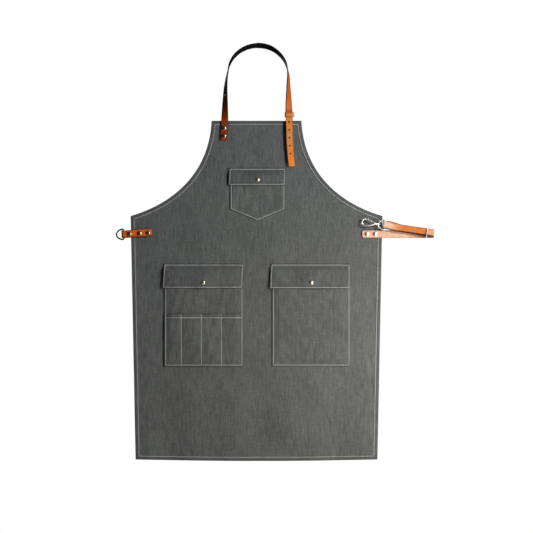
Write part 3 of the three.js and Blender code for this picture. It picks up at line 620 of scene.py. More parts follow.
def stitch_points(line, closed):
    """Where each stitch of a row goes in and comes out, in x and z."""
    line = np.asarray(line, float)
    if closed:
        line = np.vstack([line, line[:1]])
    knots = path_length(line)
    count = max(1, round(knots[-1] / STITCH_PITCH))
    pitch = knots[-1] / count
    gap = (1 - STITCH_LENGTH / STITCH_PITCH) * pitch
    starts = np.arange(count) * pitch + gap / 2
    jitter = RNG.normal(0, 0.09, (2, count))
    where = [starts + jitter[0], starts + pitch - gap + jitter[1]]
    return [np.column_stack([np.interp(s, knots, line[:, axis]) for axis in (0, 1)]) for s in where]


def row(line, surface, radius=THREAD_RADIUS, closed=False):
    """A row of stitches along a line on a surface."""
    return line, surface, radius, closed


def stitches(rows, side=1):
    """The rows' thread, on the front (side 1) or the back (side -1) of their surfaces."""
    sides = 6
    heights = np.array([-0.45, 0.25, 0.55, 0.62, 0.55, 0.25, -0.45])
    widths = np.array([0.55, 0.9, 1.0, 1.0, 1.0, 0.9, 0.55])
    turns = np.linspace(0, TAU, sides, endpoint=False)[None, None, :, None]
    faces = band_faces(len(heights), sides, caps=True)
    shapes = []
    for line, surface, radius, closed in rows:
        begin, end = stitch_points(line, closed)
        wander = RNG.normal(0, 0.07, begin.shape)
        begin, end = begin + wander, end - wander
        share = np.linspace(0, 1, len(heights))[None, :, None]
        centre = begin[:, None, :] * (1 - share) + end[:, None, :] * share
        depth = surface(centre[..., 0], centre[..., 1], side) + side * heights[None, :] * radius
        path = np.dstack([centre[..., 0], -depth, centre[..., 1]])
        tangent = unit(path[:, -2] - path[:, 1])[:, None, :]
        across = unit(np.cross(tangent, (0.0, -side, 0.0)))
        up = np.cross(across, tangent)
        ring = across[:, :, None, :] * np.cos(turns) + up[:, :, None, :] * np.sin(turns)
        points = path[:, :, None, :] + ring * (radius * widths)[None, :, None, None]
        shapes.extend((one.reshape(-1, 3), faces) for one in points)
    return shapes


def stitching(name, shapes, body):
    points, faces = join_shapes(*shapes)
    return put(name, bow(points), faces, THREAD, body, tint=THREAD_COLOUR)


hem_row = [row(offset_outline(HEM_STITCH), body_surface, closed=True)]
stitching("hem_stitching", stitches(hem_row) + stitches(hem_row, -1), "root")

# ---------------------------------------------------------------- pockets

PATCH_HALF = 0.5
SEAM_FOLD = 9.0  # cloth folded under along the sewn edges
EDGE_STITCH = 2.3  # from the edge
SEWN_DEPTH = 1.55
SNAP_PANEL, SNAP_FLAP = 5.5, 9.5  # depths of the cloth's middle where the snap holds it
MOUTH = 14  # how far the pocket's top is below its flap's

# box: left, right, bottom; point: how far the bottom's middle is below its ends;
# flap: left, right, top, height; snap: x, z; swell: at the bottom, and how much more at the mouth;
# drift: sideways, of the flap's left and right loose corners
POCKETS = {
    "chest": {"box": (-58.2, 62.8, -195), "point": 25.4, "flap": (-60.4, 64.2, -104.6, 38),
              "snap": (2.2, -130), "swell": (0.7, 0.6), "drift": (-1.5, 0)},
    "left": {"box": (-203.5, -29.9, -542.4), "point": 0, "flap": (-204.7, -28.1, -316.4, 53.6),
             "snap": (-118.3, -357.8), "swell": (1.5, 0.5), "drift": (-3.6, -3)},
    "right": {"box": (35, 206.9, -542.4), "point": 0, "flap": (32.1, 206.9, -316.4, 54.2),
              "snap": (120.6, -357.8), "swell": (1.9, 0.4), "drift": (-3.1, 0)},
}
TOOL_TOP = -427
DIVIDERS = (-166.2, -121.7, -77.2)


def pocket_bottom(pocket, x):
    left, right, bottom = pocket["box"]
    middle = (left + right) / 2
    return bottom - pocket["point"] * (1 - np.abs(x - middle) / (right - middle))


def pocket_edge(pocket, x, z):
    """Distance to the pocket's sewn edges."""
    left, right, _ = pocket["box"]
    slope = pocket["point"] / ((right - left) / 2)
    low = (z - pocket_bottom(pocket, x)) / math.sqrt(1 + slope**2)
    return np.maximum(np.minimum(np.minimum(x - left, right - x), low), 0)


def snap_share(pocket, x, z, spread):
    sx, sz = pocket["snap"]
    distance = np.hypot(x - sx, z - sz)
    return hill(np.maximum(distance - 5, 0), 0, spread)


def panel_middle(pocket, x, z):
    bottom, top = pocket["box"][2], pocket["flap"][2] - MOUTH
    edge = pocket_edge(pocket, x, z)
    rise = smooth(1.5, 17, edge)
    share = np.clip((z - bottom) / (top - bottom), 0, 1)
    low, more = pocket["swell"]
    creases = 0.5 * ripple(CRUMPLE, x + 31, z - 17)
    swell = rise * (low + more * share + creases + 0.3 * ripple(SLOW_WAVES, z, x))
    depth = SEWN_DEPTH + swell
    return depth + (SNAP_PANEL - depth) * snap_share(pocket, x, z, 17) * smooth(2, 14, edge) + sag(x, z)


def seam_groove(edge):
    return 0.25 * hill(edge, EDGE_STITCH, 0.9)


def seam_pucker(along, pitch, edge):
    return 0.10 * np.sin(TAU * along / pitch) * hill(edge, 3.4, 3)


def panel_surface(pocket):
    def surface(x, z, side):
        edge = pocket_edge(pocket, x, z)
        mouth = pocket["flap"][2] - MOUTH - z
        folded = 1 - smooth(SEAM_FOLD - 0.7, SEAM_FOLD + 0.9, np.minimum(edge, mouth))
        folded = folded * (1 - snap_share(pocket, x, z, 4))
        half = PATCH_HALF + 0.42 * folded - seam_groove(edge) * (side > 0)
        return panel_middle(pocket, x, z) + seam_pucker(x + z, 9.5, edge) + side * half
    return surface


def edge_columns(width, spacing=2.6):
    """Places across a patch, closer together along its edges."""
    steps = np.array([0, 0.7, 1.5, 2.3, 3.1, 4.2, 5.6, 7.2, 8.2, 9.0, 9.9, 11.4, 13.4])
    count = max(4, round((width - 2 * steps[-1]) / spacing))
    middle = np.linspace(steps[-1], width - steps[-1], count)[1:-1]
    return np.concatenate([steps, middle, width - steps[::-1]])


def patch_shade(edge, wide=9.0):
    """Cloth is a little darker on its folded edges and over the end of the seam allowance: painted shade."""
    shade = 1 - 0.20 * (1 - smooth(0.1, 1.2, edge))
    return shade * (1 - 0.09 * hill(edge - wide, 1.0, 2.2))


def pocket_panel(name, pocket):
    left, right, _ = pocket["box"]
    top = pocket["flap"][2] - MOUTH
    x = left + edge_columns(right - left)
    deep = top - pocket_bottom(pocket, x)
    rows = edge_columns(deep.min()) / deep.min()
    x = np.repeat(x[None, :], len(rows), axis=0)
    points, faces = cloth_shell(panel_surface(pocket), x, top - rows[:, None] * deep[None, :])
    edge = pocket_edge(pocket, points[:, 0], points[:, 2])
    return put_canvas(f"{name}_pocket_cloth", points, faces, "root", f"{name}_pocket", patch_shade(edge))


def flap_middle(pocket, x, z):
    left, right, top, height = pocket["flap"]
    fall = top - z
    lift = smooth(3.2, 16.5, fall)
    loose = 3.9 + 0.9 * fall / height + 0.34 * ripple(CRUMPLE, x - 11, z + 5)
    loose = loose - 1.5 * smooth(12, 0, np.minimum(x - left, right - x)) * smooth(6, 20, fall)
    full = SNAP_FLAP - SEWN_DEPTH
    loose = loose + (full - loose) * snap_share(pocket, x, z, 21)
    return SEWN_DEPTH + lift * loose + sag(x, z)


def flap_edge(pocket, x, z):
    left, right, top, height = pocket["flap"]
    return np.maximum(np.minimum(np.minimum(x - left, right - x), np.minimum(top - z, z - top + height)), 0)


def lean_flap(pocket, points):
    """The flap's side edges drift sideways towards its loose edge."""
    left, right, top, height = pocket["flap"]
    x, fall = points[:, 0], np.clip((top - points[:, 2]) / height, 0, 1)
    drift = pocket["drift"][0] * smooth(60, 0, x - left) + pocket["drift"][1] * smooth(60, 0, right - x)
    return np.column_stack([x + drift * fall, points[:, 1:]])


def flap_surface(pocket):
    def surface(x, z, side):
        edge = flap_edge(pocket, x, z)
        half = PATCH_HALF + 0.36 * (1 - smooth(5.2, 6.8, edge)) - seam_groove(edge)
        return flap_middle(pocket, x, z) + seam_pucker(x - z, 9.1, edge) + side * half
    return surface


def flap_cloth(name, pocket):
    left, right, top, height = pocket["flap"]
    x, z = np.meshgrid(left + edge_columns(right - left), top - edge_columns(height, 1.8))
    points, faces = cloth_shell(flap_surface(pocket), x, z)
    edge = flap_edge(pocket, points[:, 0], points[:, 2])
    return put_canvas(f"{name}_flap_cloth", lean_flap(pocket, points), faces, None, f"{name}_pocket_flap",
                      patch_shade(edge, 6.0) * 0.93)


def bend_at_seam(piece):
    """The flap is sewn along its top; this bakes the piece's placement into its mesh."""
    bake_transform(piece)


def pocket_lines(pocket):
    left, right, _ = pocket["box"]
    top = pocket["flap"][2] - MOUTH
    inset = EDGE_STITCH
    turns = [left + inset, (left + right) / 2, right - inset]
    low = [(x, pocket_bottom(pocket, x) + inset * 1.05) for x in turns]
    return dense([(left + inset, top - 1), *low, (right - inset, top - 1)], 2.0)


def flap_thread(name, pocket):
    left, right, top, height = pocket["flap"]
    left, right = left + EDGE_STITCH, right - EDGE_STITCH
    low, top = top - height + EDGE_STITCH, top - EDGE_STITCH
    frame_line = dense([(left, top), (right, top), (right, low), (left, low), (left, top)], 2)
    rows = [row(frame_line[:-1], flap_surface(pocket), closed=True)]
    thread = [(lean_flap(pocket, points), faces) for points, faces in stitches(rows) + stitches(rows, -1)]
    return stitching(f"{name}_flap_stitching", thread, None)


pocket_pieces, flap_pieces = {}, {}
front_rows, back_rows = [], []
for name, pocket in POCKETS.items():
    pocket_pieces[name] = pocket_panel(name, pocket)
    flap_pieces[name] = flap_cloth(name, pocket)
    for piece in (flap_pieces[name], flap_thread(name, pocket)):
        bend_at_seam(piece)
    left, right, _ = pocket["box"]
    surface, line, hem = panel_surface(pocket), pocket_lines(pocket), pocket["flap"][2] - MOUTH - 7
    front_rows += [row(line, surface), row(dense([(left + 6, hem), (right - 6, hem)], 2), surface)]
    left, right, top, _ = pocket["flap"]
    seam = dense([(left + 3, top - EDGE_STITCH), (right - 3, top - EDGE_STITCH)], 2)
    back_rows += [row(line, body_surface), row(seam, body_surface)]


def tool_middle(x, z):
    pocket = POCKETS["left"]
    left, right, bottom = pocket["box"]
    walls = np.array([left, *DIVIDERS, right])
    slot = np.clip(np.searchsorted(walls, x, side="right") - 1, 0, len(walls) - 2)
    share = (x - walls[slot]) / (walls[slot + 1] - walls[slot])
    open_share = np.clip((z - bottom) / (TOOL_TOP - bottom), 0, 1)
    bulge = np.sin(math.pi * np.clip(share, 0, 1)) ** 0.8 * smooth(0, 16, pocket_edge(pocket, x, z) + 3)
    rise = bulge * (0.5 + 1.0 * open_share**1.5 + 0.26 * ripple(CRUMPLE, x + 7, z + 40))
    return panel_middle(pocket, x, z) + 1.45 + rise


def tool_surface(x, z, side):
    top = TOOL_TOP - z
    edge = pocket_edge(POCKETS["left"], x, z)
    folded = np.maximum(1 - smooth(9.2, 10.8, np.minimum(top, 30)), 1 - smooth(5, 6.5, edge))
    near = np.min([np.abs(np.asarray(x) - wall) for wall in DIVIDERS], axis=0)
    groove = 0.3 * hill(near, 0, 1.0) + seam_groove(edge) + 0.25 * hill(top, 7, 0.9)
    half = PATCH_HALF + 0.3 * folded - groove * (side > 0)
    return tool_middle(x, z) + side * half


def tool_panel():
    left, right, bottom = POCKETS["left"]["box"]
    columns = [left + edge_columns(right - left, 2.4)]
    columns.extend(wall + np.array([-1.4, -0.6, 0, 0.6, 1.4]) for wall in DIVIDERS)
    x = np.unique(np.round(np.concatenate(columns), 3))
    x = x[np.concatenate([[True], np.diff(x) > 0.25])]
    x[-1] = right
    points, faces = cloth_shell(tool_surface, *np.meshgrid(x, TOOL_TOP - edge_columns(TOOL_TOP - bottom)))
    edge = pocket_edge(POCKETS["left"], points[:, 0], points[:, 2])
    # painted shadow: darker just along the panel's top edge
    shade = patch_shade(edge, 6) * (1 - 0.16 * (1 - smooth(0.2, 1.4, TOOL_TOP - points[:, 2])))
    return put_canvas("tool_panel_cloth", points, faces, "root", "left_tool_panel", shade)


tool_piece = tool_panel()
left, right, bottom = POCKETS["left"]["box"]
low_left, low_right, low = left + EDGE_STITCH, right - EDGE_STITCH, bottom + EDGE_STITCH
tool_rows = [
    row(dense([(left + 1.5, TOOL_TOP - 8), (right - 1.5, TOOL_TOP - 8)], 2), tool_surface),
    row(dense([(low_left, TOOL_TOP - 1), (low_left, low), (low_right, low), (low_right, TOOL_TOP - 1)], 2),
        tool_surface),
]
for wall in DIVIDERS:
    tool_rows.append(row(dense([(wall, TOOL_TOP - 1.2), (wall, low)], 2), tool_surface, THREAD_RADIUS * 0.95))
stitching("tool_panel_stitching", stitches(tool_rows), "root")
# the edge rows of the left pocket lie under the tool panel below its top
stitching("pocket_stitching", stitches(front_rows), "root")
stitching("back_stitching", stitches(back_rows, -1), "root")

# ---------------------------------------------------------------- leather

LEATHER = 2.6  # its thickness
HOLE_RADIUS = 2.1


def ribbon(path, across, width, thick=LEATHER, widths=1.0, closed=False, corner=0.75):
    """A strap with rounded edges. Returns its points, faces, each point's place along, across and through it,
    and its line's points, across directions, normals and lengths."""
    path = np.asarray(path, float)
    count = len(path)
    tangent = path_directions(path, closed)
    across = unit(across - tangent * (across * tangent).sum(1, keepdims=True))
    normal = np.cross(tangent, across)
    half, deep = width / 2, thick / 2
    corner = min(corner, deep * 0.8)
    flat = np.linspace(-half + corner, half - corner, 9)
    angles = np.radians([22.5, 45, 67.5])
    edge = [(half - corner + corner * math.sin(a), deep - corner + corner * math.cos(a)) for a in angles]
    edge += [(half, deep - corner), (half, -deep + corner)] + [(a, -n) for a, n in reversed(edge)]
    section = [(a, deep) for a in flat] + edge + [(a, -deep) for a in flat[::-1]]
    section = np.array(section + [(-a, n) for a, n in reversed(edge)])
    a = section[None, :, 0] * np.broadcast_to(widths, count)[:, None]
    n = np.repeat(section[None, :, 1], count, 0)
    points = path[:, None, :] + a[..., None] * across[:, None, :] + n[..., None] * normal[:, None, :]
    faces = band_faces(count, len(section), wrap_rows=closed, caps=not closed)
    along = path_length(path)
    local = np.dstack([np.repeat(along[:, None], len(section), 1), a, n])
    return points.reshape(-1, 3), faces, local.reshape(-1, 3), (path, across, normal, along)


def put_leather(name, points, faces, local, body, node_name, tint):
    return put(name, points, faces, LEATHER_FINISH, body, [node_name], "leather", tint=tint, rest=local,
               sharp=50)


def end_widths(along, width, start_radius, end_radius):
    """Narrows a strap's last millimetres to rounded corners."""
    total = along[-1]
    scale = np.ones(len(along))
    for distance, radius in ((along, start_radius), (total - along, end_radius)):
        inside = np.clip(radius - distance, 0, radius)
        half = width / 2 - radius + np.sqrt(np.maximum(radius**2 - inside**2, 0.02 * radius**2))
        scale = np.minimum(scale, half / (width / 2))
    return scale


def end_steps(path):
    """Adds points near a path's ends, for smooth rounded corners. Also gives how far along each is."""
    along = path_length(path)
    total = along[-1]
    near = np.array([0, 0.12, 0.35, 0.7, 1.2, 1.9, 2.8, 3.8, 5])
    middle = along[(along > 5.6) & (along < total - 5.6)]
    wanted = np.concatenate([near, middle, total - near[::-1]])
    return np.column_stack([np.interp(wanted, along, path[:, i]) for i in range(3)]), wanted


def leather_colour(local, width, top, flesh=BLACK_DYE_AND_SHADE, face=1, edge_dark=0.9, thick=LEATHER, rim_dark=0.55):
    """Dyed grain side, dark flesh side and burnished dark edges."""
    n = local[:, 2] * face
    grain = smooth(-0.2 * thick, 0.42 * thick, n)
    colour = blend_colours(flesh, top, grain)
    rim = smooth(width / 2 - 1.5, width / 2 - 0.15, np.abs(local[:, 1]))
    edge = 1 - smooth(0.30 * thick, 0.48 * thick, np.abs(local[:, 2]))
    side = np.clip(rim * rim_dark + edge * edge_dark, 0, 1)
    return blend_colours(colour, BLACK_DYE_AND_SHADE * 1.6, side * edge_dark)


def punched(piece, centres, stations, paint):
    """Cuts round holes through a strap, then paints it again from its own line."""
    tools = []
    bore = [[0, -9], [HOLE_RADIUS, -9], [HOLE_RADIUS, 9], [0, 9]]
    for centre in centres:
        tools.append(put("punch", *lathe(bore, centre, sides=28), LEATHER_FINISH, None))
        cut = piece.modifiers.new("punch", "BOOLEAN")
        cut.operation, cut.solver, cut.object = "DIFFERENCE", "EXACT", tools[-1]
    mesh = bpy.data.meshes.new_from_object(piece.evaluated_get(bpy.context.evaluated_depsgraph_get()))
    piece.modifiers.clear()
    piece.data = mesh
    for tool in tools:
        bpy.data.objects.remove(tool)
    path, across, normal, along = stations
    tree = kdtree.KDTree(len(path))
    for i, place in enumerate(path):
        tree.insert(place, i)
    tree.balance()
    raw = np.empty(len(mesh.vertices) * 3)
    mesh.vertices.foreach_get("co", raw)
    places = (raw.reshape(-1, 3) - ORIGIN) / MM
    index = np.array([tree.find(place)[1] for place in places])
    away = places - path[index]
    local = np.column_stack([along[index], (away * across[index]).sum(1), (away * normal[index]).sum(1)])
    for key in ("tint", "rest"):
        mesh.attributes.remove(mesh.attributes[key])
    mesh.shade_smooth()
    mesh.set_sharp_from_angle(angle=math.radians(50))
    finish_attributes(mesh, paint(local, places), local)
    matte_dark_faces(mesh)


# --- neck strap

NECK_WIDTH = 15.5
APEX, SETBACK = 170.6, 58  # the loop's highest point, and how far back it leans there
# depth at the foot, height where the lean and twist start, and which way across it is drawn
SIDES = {"left": (2.8, 0, 1), "right": (7.7, 20, -1)}
NECK_PATH = [
    (-72.4, -43.4), (-71.2, -18), (-70.2, 6), (-69.4, 46), (-68.4, 76), (-65, 104), (-57.6, 133),
    (-43, 152.6), (-22, 165.6), (3, APEX), (29, 165.6), (48.6, 152.6), (62.8, 134), (69.8, 110),
    (70.8, 76), (71, 46), (71.8, 14), (72.6, -9), (73.6, -44), (75, -66), (78.4, -100.5),
]
TWIST_END = 128  # the height at which it has turned edge-on
TAB_X = 72.3
HOLE_PITCH, FIRST_HOLE, HOLE_COUNT = 17.4, 14.7, 6


def neck_across(place, side):
    base, start, sign = SIDES[side]
    rise = max(place[2] - start, 0) / (APEX - start)
    share = min(max((place[2] - start) / (TWIST_END - start), 0), 1)
    twist = math.pi / 2 * share**0.6
    lean = math.atan(2 * rise * (base + SETBACK) / (APEX - start))
    forward = np.array([0, -math.cos(lean), math.sin(lean)])
    return np.array([sign * math.cos(twist), 0, 0]) + forward * math.sin(twist)


def neck_points():
    points = []
    for i, (x, z) in enumerate(NECK_PATH):
        base, start, _ = SIDES["left" if i <= 9 else "right"]
        rise = max(z - start, 0) / (APEX - start)
        points.append((x, -(base - (base + SETBACK) * rise**2), z))
    return np.array(points)


def tail_x(z):
    tail = NECK_PATH[-6:]
    return float(np.interp(-z, [-p[1] for p in tail], [p[0] for p in tail]))


def neck_strap():
    path, wanted = end_steps(smooth_path(neck_points(), 1.1))
    across = np.array([neck_across(p, "left" if p[0] < 0 else "right") for p in path])
    widths = end_widths(wanted, NECK_WIDTH, 3.2, 4.6)
    points, faces, local, stations = ribbon(path, across, NECK_WIDTH, widths=widths)
    total = stations[3][-1]

    def paint(local, places):
        along, height = local[:, 0], places[:, 2]
        # painted shade: the strap's left half, grain side as well, runs from brown to near black towards the
        # twist
        top = blend_colours(BROWN, BLACK_DYE_AND_SHADE, smooth(70, 128, along))
        top = blend_colours(top, RED_TAN, smooth(total * 0.43, total * 0.55, along))
        top = blend_colours(top, UPPER_RIGHT_TAN, smooth(total * 0.53, total * 0.62, along))
        tail = (places[:, 0] > 0) * smooth(24, 12, height)
        top = blend_colours(top, BRIGHT_TAN, tail)
        # paler round the middle of the tail
        top = blend_colours(top, PALE_MIDTAIL_TAN, tail * hill(height, -36, 22) * 0.85)
        return leather_colour(local, NECK_WIDTH, top, face=-1, rim_dark=0.95)

    piece = put_leather("neck_strap_leather", points, faces, local, "root", "neck_strap",
                        paint(local, points))
    holes = []
    for i in range(HOLE_COUNT):
        z = FIRST_HOLE - i * HOLE_PITCH
        holes.append((TAB_X if i == 0 else tail_x(z) - 0.6, -7.7, z))
    punched(piece, holes, stations, paint)


neck_strap()


def neck_tab():
    width = 14.4
    path, wanted = end_steps(np.linspace((TAB_X, -2.8, -47), (TAB_X, -2.8, 21.5), 60))
    widths = end_widths(wanted, width, 2.6, 2.6)
    points, faces, local, _ = ribbon(path, (-1.0, 0.0, 0.0), width, widths=widths)
    put_leather("neck_tab_leather", points, faces, local, "root", "neck_tab",
                leather_colour(local, width, TAN * 0.8, face=-1))


neck_tab()


def rounded_loop(wide, tall, radius, steps=6):
    """A rounded rectangle round the origin."""
    points = []
    for cx, cy, first in ((1, 1, 0), (-1, 1, 90), (-1, -1, 180), (1, -1, 270)):
        for step in range(steps + 1):
            angle = math.radians(first + 90 * step / steps)
            points.append((
                cx * (wide / 2 - radius) + radius * math.cos(angle),
                cy * (tall / 2 - radius) + radius * math.sin(angle),
            ))
    return np.array(points)


def keeper():
    low, width, outer_wide, back, front, wall = 8.2, 11, 20.4, -1.6, 13.1, 1.5
    loop = rounded_loop(outer_wide - wall, front - back - wall, 3.6)
    height = np.full(len(loop), low + width / 2)
    path = np.column_stack([TAB_X + loop[:, 0], -(front + back) / 2 + loop[:, 1], height])
    path = smooth_path(path, 0.8, closed=True)
    points, faces, local, stations = ribbon(path, (0.0, 0.0, 1.0), width, thick=wall, closed=True, corner=0.5)
    centre = np.array([TAB_X, -(front + back) / 2])
    away = unit(points[:, :2] - centre)
    outside = np.sign(((points - np.repeat(stations[0], len(points) // len(path), 0))[:, :2] * away).sum(1))
    bulge = 0.55 * (1 - (local[:, 1] / (width / 2)) ** 2) * (outside > 0)
    points[:, :2] += away * bulge[:, None]
    face = 1 if np.mean(outside * local[:, 2]) > 0 else -1
    put_leather("neck_keeper_leather", points, faces, local, "keeper", "neck_keeper",
                leather_colour(local, width, KEEPER_TAN, face=face, thick=wall, rim_dark=0.9))


keeper()

# --- ring tab

RING_BAR = np.array([-294.2, 0, -250.6])
RING_TILT = math.radians(3.2)
RING_ALONG = np.array([math.cos(RING_TILT), 0, math.sin(RING_TILT)])
RING_UP = np.array([-math.sin(RING_TILT), 0, math.cos(RING_TILT)])
TAB_WIDTH = 17


def ring_tab():
    half = 3.3
    flat = np.linspace(63, 0, 40)[:-1]
    turn = np.linspace(-math.pi / 2, -1.5 * math.pi, 26)
    line = [(s, -half) for s in flat]
    line += [(half * math.cos(a), half * math.sin(a)) for a in turn]
    line += [(s, half) for s in flat[::-1]]
    path = np.array([RING_BAR + RING_ALONG * s + np.array([0, -d, 0]) for s, d in line])
    path, wanted = end_steps(path)
    widths = end_widths(wanted, TAB_WIDTH, 3.4, 3.4)
    points, faces, local, stations = ribbon(path, RING_UP, TAB_WIDTH, widths=widths)
    outside = 1 if stations[2][-1][1] < 0 else -1
    # painted shade: darker along the tab's lower edge, over its dark burnished edge
    top = blend_colours(RING_TAN, BROWN * 0.4, smooth(-3.5, -8, local[:, 1]) * 0.9)
    put_leather("ring_tab_leather", points, faces, local, "root", "ring_tab",
                leather_colour(local, TAB_WIDTH, top, face=outside))


ring_tab()

# --- waist strap

SLOPE = math.radians(8.4)
ALONG = np.array([math.cos(SLOPE), 0, -math.sin(SLOPE)])
TILTED = np.array([math.sin(SLOPE), 0, math.cos(SLOPE)])
EYE_X, EYE_Z = 282.1, -232.2
EYE_LIFT = 1.9
STRAP_START, STRAP_Z = 234.3, -250.2
BEND_X = 388.2
TIP_X = BEND_X + 4.1
LOWER, MIDDLE, FRONT = 2.8, 8.8, 11.7  # depths of its three runs
WRAP_RADIUS = 2.9


def upper_run(x, depth, lift=0.0):
    """A point on the sloping upper runs, lifted across the strap."""
    return np.array([EYE_X, -depth, EYE_Z]) + ALONG * (x - EYE_X) / ALONG[0] + TILTED * lift


def waist_strap():
    """The lower run, its bend, the middle run behind, its turn round the eye's bar, and the front run."""
    upright = np.array([0.0, 0.0, 1.0])
    line, across = [], []

    def go(point, direction):
        line.append(np.array(point, float))
        across.append(np.array(direction, float))

    for x in np.linspace(STRAP_START, BEND_X, 50)[:-1]:
        go((x, -LOWER, STRAP_Z), upright)
    turn_top = upper_run(BEND_X, MIDDLE)
    turn_middle, turn_radius = (LOWER + MIDDLE) / 2, (MIDDLE - LOWER) / 2
    for share in np.linspace(0, 1, 15):
        depth = turn_middle - turn_radius * math.cos(math.pi * share)
        x = BEND_X + turn_radius * math.sin(math.pi * share)
        go((x, -depth, STRAP_Z + (turn_top[2] - STRAP_Z) * share), upright * (1 - share) + TILTED * share)
    for x in np.linspace(BEND_X, EYE_X, 30)[1:-1]:
        go(upper_run(x, MIDDLE, np.interp(x, (EYE_X, 292, 305, 318), (EYE_LIFT, 3.8, 2.2, 0))), TILTED)
    for angle in math.pi * np.linspace(0, 1, 15):
        depth = MIDDLE + WRAP_RADIUS * (1 - math.cos(angle))
        go(upper_run(EYE_X - WRAP_RADIUS * math.sin(angle), depth, EYE_LIFT), TILTED)
    for x in np.linspace(EYE_X + 3, TIP_X, 50):
        proud = np.interp(x, (EYE_X, 291, 300, 309), (2 * WRAP_RADIUS + MIDDLE - FRONT, 2.2, 0.7, 0))
        lift = np.interp(x, (EYE_X, 291, 300, 309), (EYE_LIFT, EYE_LIFT, 0.7, 0))
        go(upper_run(x, FRONT + proud, lift), TILTED)
    line, across = np.array(line), np.array(across)
    along = path_length(line)
    total = along[-1]
    path, wanted = end_steps(line)
    across = np.column_stack([np.interp(wanted, along, across[:, i]) for i in range(3)])
    widths = end_widths(wanted, TAB_WIDTH, 3.6, 4.4)
    points, faces, local, stations = ribbon(path, across, TAB_WIDTH, widths=widths)
    front_start = total - (TIP_X - EYE_X) / ALONG[0]
    # painted sheen: paler tan up to the front run's first part by the eye, blending to the plain tan along
    # it, and half back towards pale near the tip
    far = smooth(front_start + 2, front_start + 46, local[:, 0])
    far = far * (1 - 0.5 * smooth(total - 20, total - 9, local[:, 0]))
    top = blend_colours(SHEEN_PAINTED_TAN, WAIST_TAN, far)
    # the front run's lower edge and the lower run's far end are in shadow in the photo
    on_front = local[:, 0] > front_start - 6
    low = smooth(-4.1, -5.9, local[:, 1] * np.sign(stations[1][-1][2])) * on_front
    top = blend_colours(top, BLACK_DYE_AND_SHADE * 3, low * (0.75 + 0.25 * far))
    lower_end = BEND_X - STRAP_START
    shaded = smooth(lower_end - 62, lower_end - 8, local[:, 0]) * (local[:, 0] < lower_end + 4)
    top = blend_colours(top, BROWN, shaded * 0.85)
    behind = (local[:, 0] > lower_end + 4) & (local[:, 0] < front_start - 10)
    flesh = blend_colours(BLACK_DYE_AND_SHADE, RED_TAN * 1.3, behind)
    put_leather("waist_strap_leather", points, faces, local, "root", "waist_strap",
                leather_colour(local, TAB_WIDTH, top, flesh=flesh, edge_dark=0.85))


waist_strap()

# ---------------------------------------------------------------- rivets and snaps


def dome(radius, seat, height):
    """A pressed cap: a rolled rim and a domed top."""
    profile = [[0, seat], [radius * 0.94, seat]]
    profile += [[radius, seat + height * share] for share in (0.08, 0.16)]
    for share in np.linspace(0.97, 0.1, 12):
        profile.append([radius * share, seat + height * (0.16 + 0.84 * math.sqrt(1 - share**2))])
    return profile + [[0, seat + height]]


def put_turned(name, profile, x, z, node_name, slot, sides=32, sharp=50, body="root", finish=METAL,
               tint=BRASS):
    """A turned piece facing forward from a place on the cloth; its profile is [radius, depth]."""
    put(name, *lathe(profile, (x, 0, z), sides=sides), finish, body, [node_name], slot, tint=tint,
        sharp=sharp)


def rivet(name, x, z, back=-1.2, seat=4.1, finish=METAL, tint=RIVET_BRASS):
    """A domed cap on the front and a post whose flange lies against the back."""
    foot = back - 0.1
    put_turned(f"{name}_dome", dome(5.2, seat + 0.02, 2.5), x, z, f"{name}_cap", "rivet_brass", 44, 60,
               finish=finish, tint=tint)
    flange = [(0, 1.35), (1.5, 1.35), (1.9, 1.1), (2.6, 1.2), (3.6, 1.15), (4.35, 0.85), (4.6, 0.45)]
    post = [[radius, foot - deep] for radius, deep in flange]
    post += [[4.5, foot], [1.3, foot], [1.3, seat + 0.9], [0, seat + 0.9]]
    put_turned(f"{name}_shank", post, x, z, f"{name}_post", "rivet_brass", tint=RIVET_BRASS)


def rivets():
    for i, z in enumerate((-15.5, -33.2)):
        rivet(f"neck_strap_rivet_{i + 1}", -71.8, z)
    for i in range(2):
        rivet(f"neck_tab_rivet_{i + 1}", TAB_X, FIRST_HOLE - (i + 2) * HOLE_PITCH)
    # the waist strap's rivets take a whiter tint than the other rivets: a painted brighter reflection
    for i, x in enumerate((244.2, 262.2)):
        rivet(f"waist_strap_rivet_{i + 1}", x, STRAP_Z, finish=SATIN_METAL, tint=(0.97, 0.93, 0.86))
    for i, along in enumerate((12.8, 35.2, 54.5)):
        x, _, z = RING_BAR + RING_ALONG * along
        rivet(f"ring_tab_rivet_{i + 1}", x, z, -4.6, 4.6)


rivets()

SNAP_SOCKET = [[2.8, 7.1], [3.6, 7.0], [4.3, 7.2], [4.6, 7.7], [4.6, 8.9], [1.3, 8.9], [1.3, 8.4], [2.6, 8.2]]
SNAP_STUD = [[0, 8.2], [1.2, 8.2], [1.9, 8.0], [2.4, 7.5], [2.3, 7.0], [2.1, 6.8], [3.4, 6.75], [4.2, 6.6],
             [4.4, 6.35], [4.3, 6.05], [0, 6.05]]
SNAP_POST = [[0, 4.0], [3.7, 4.0], [4.3, 4.3], [4.3, 4.8], [1.0, 4.9], [1.0, 7.2], [0, 7.2]]
for name, pocket in POCKETS.items():
    on_flap = f"{name}_flap"
    put_turned(f"{name}_snap_dome", dome(4.7, 10.02, 2.2), *pocket["snap"], f"{name}_snap_cap",
               "snap_brass", 44, 60, on_flap, tint=BRIGHTENED_CAP_BRASS)
    for part, profile, node_part, body in (
        ("cup", SNAP_SOCKET, "socket", on_flap), ("nub", SNAP_STUD, "stud", "root"),
        ("foot", SNAP_POST, "post", "root"),
    ):
        put_turned(f"{name}_snap_{part}", profile, *pocket["snap"], f"{name}_snap_{node_part}",
                   "snap_brass", body=body)

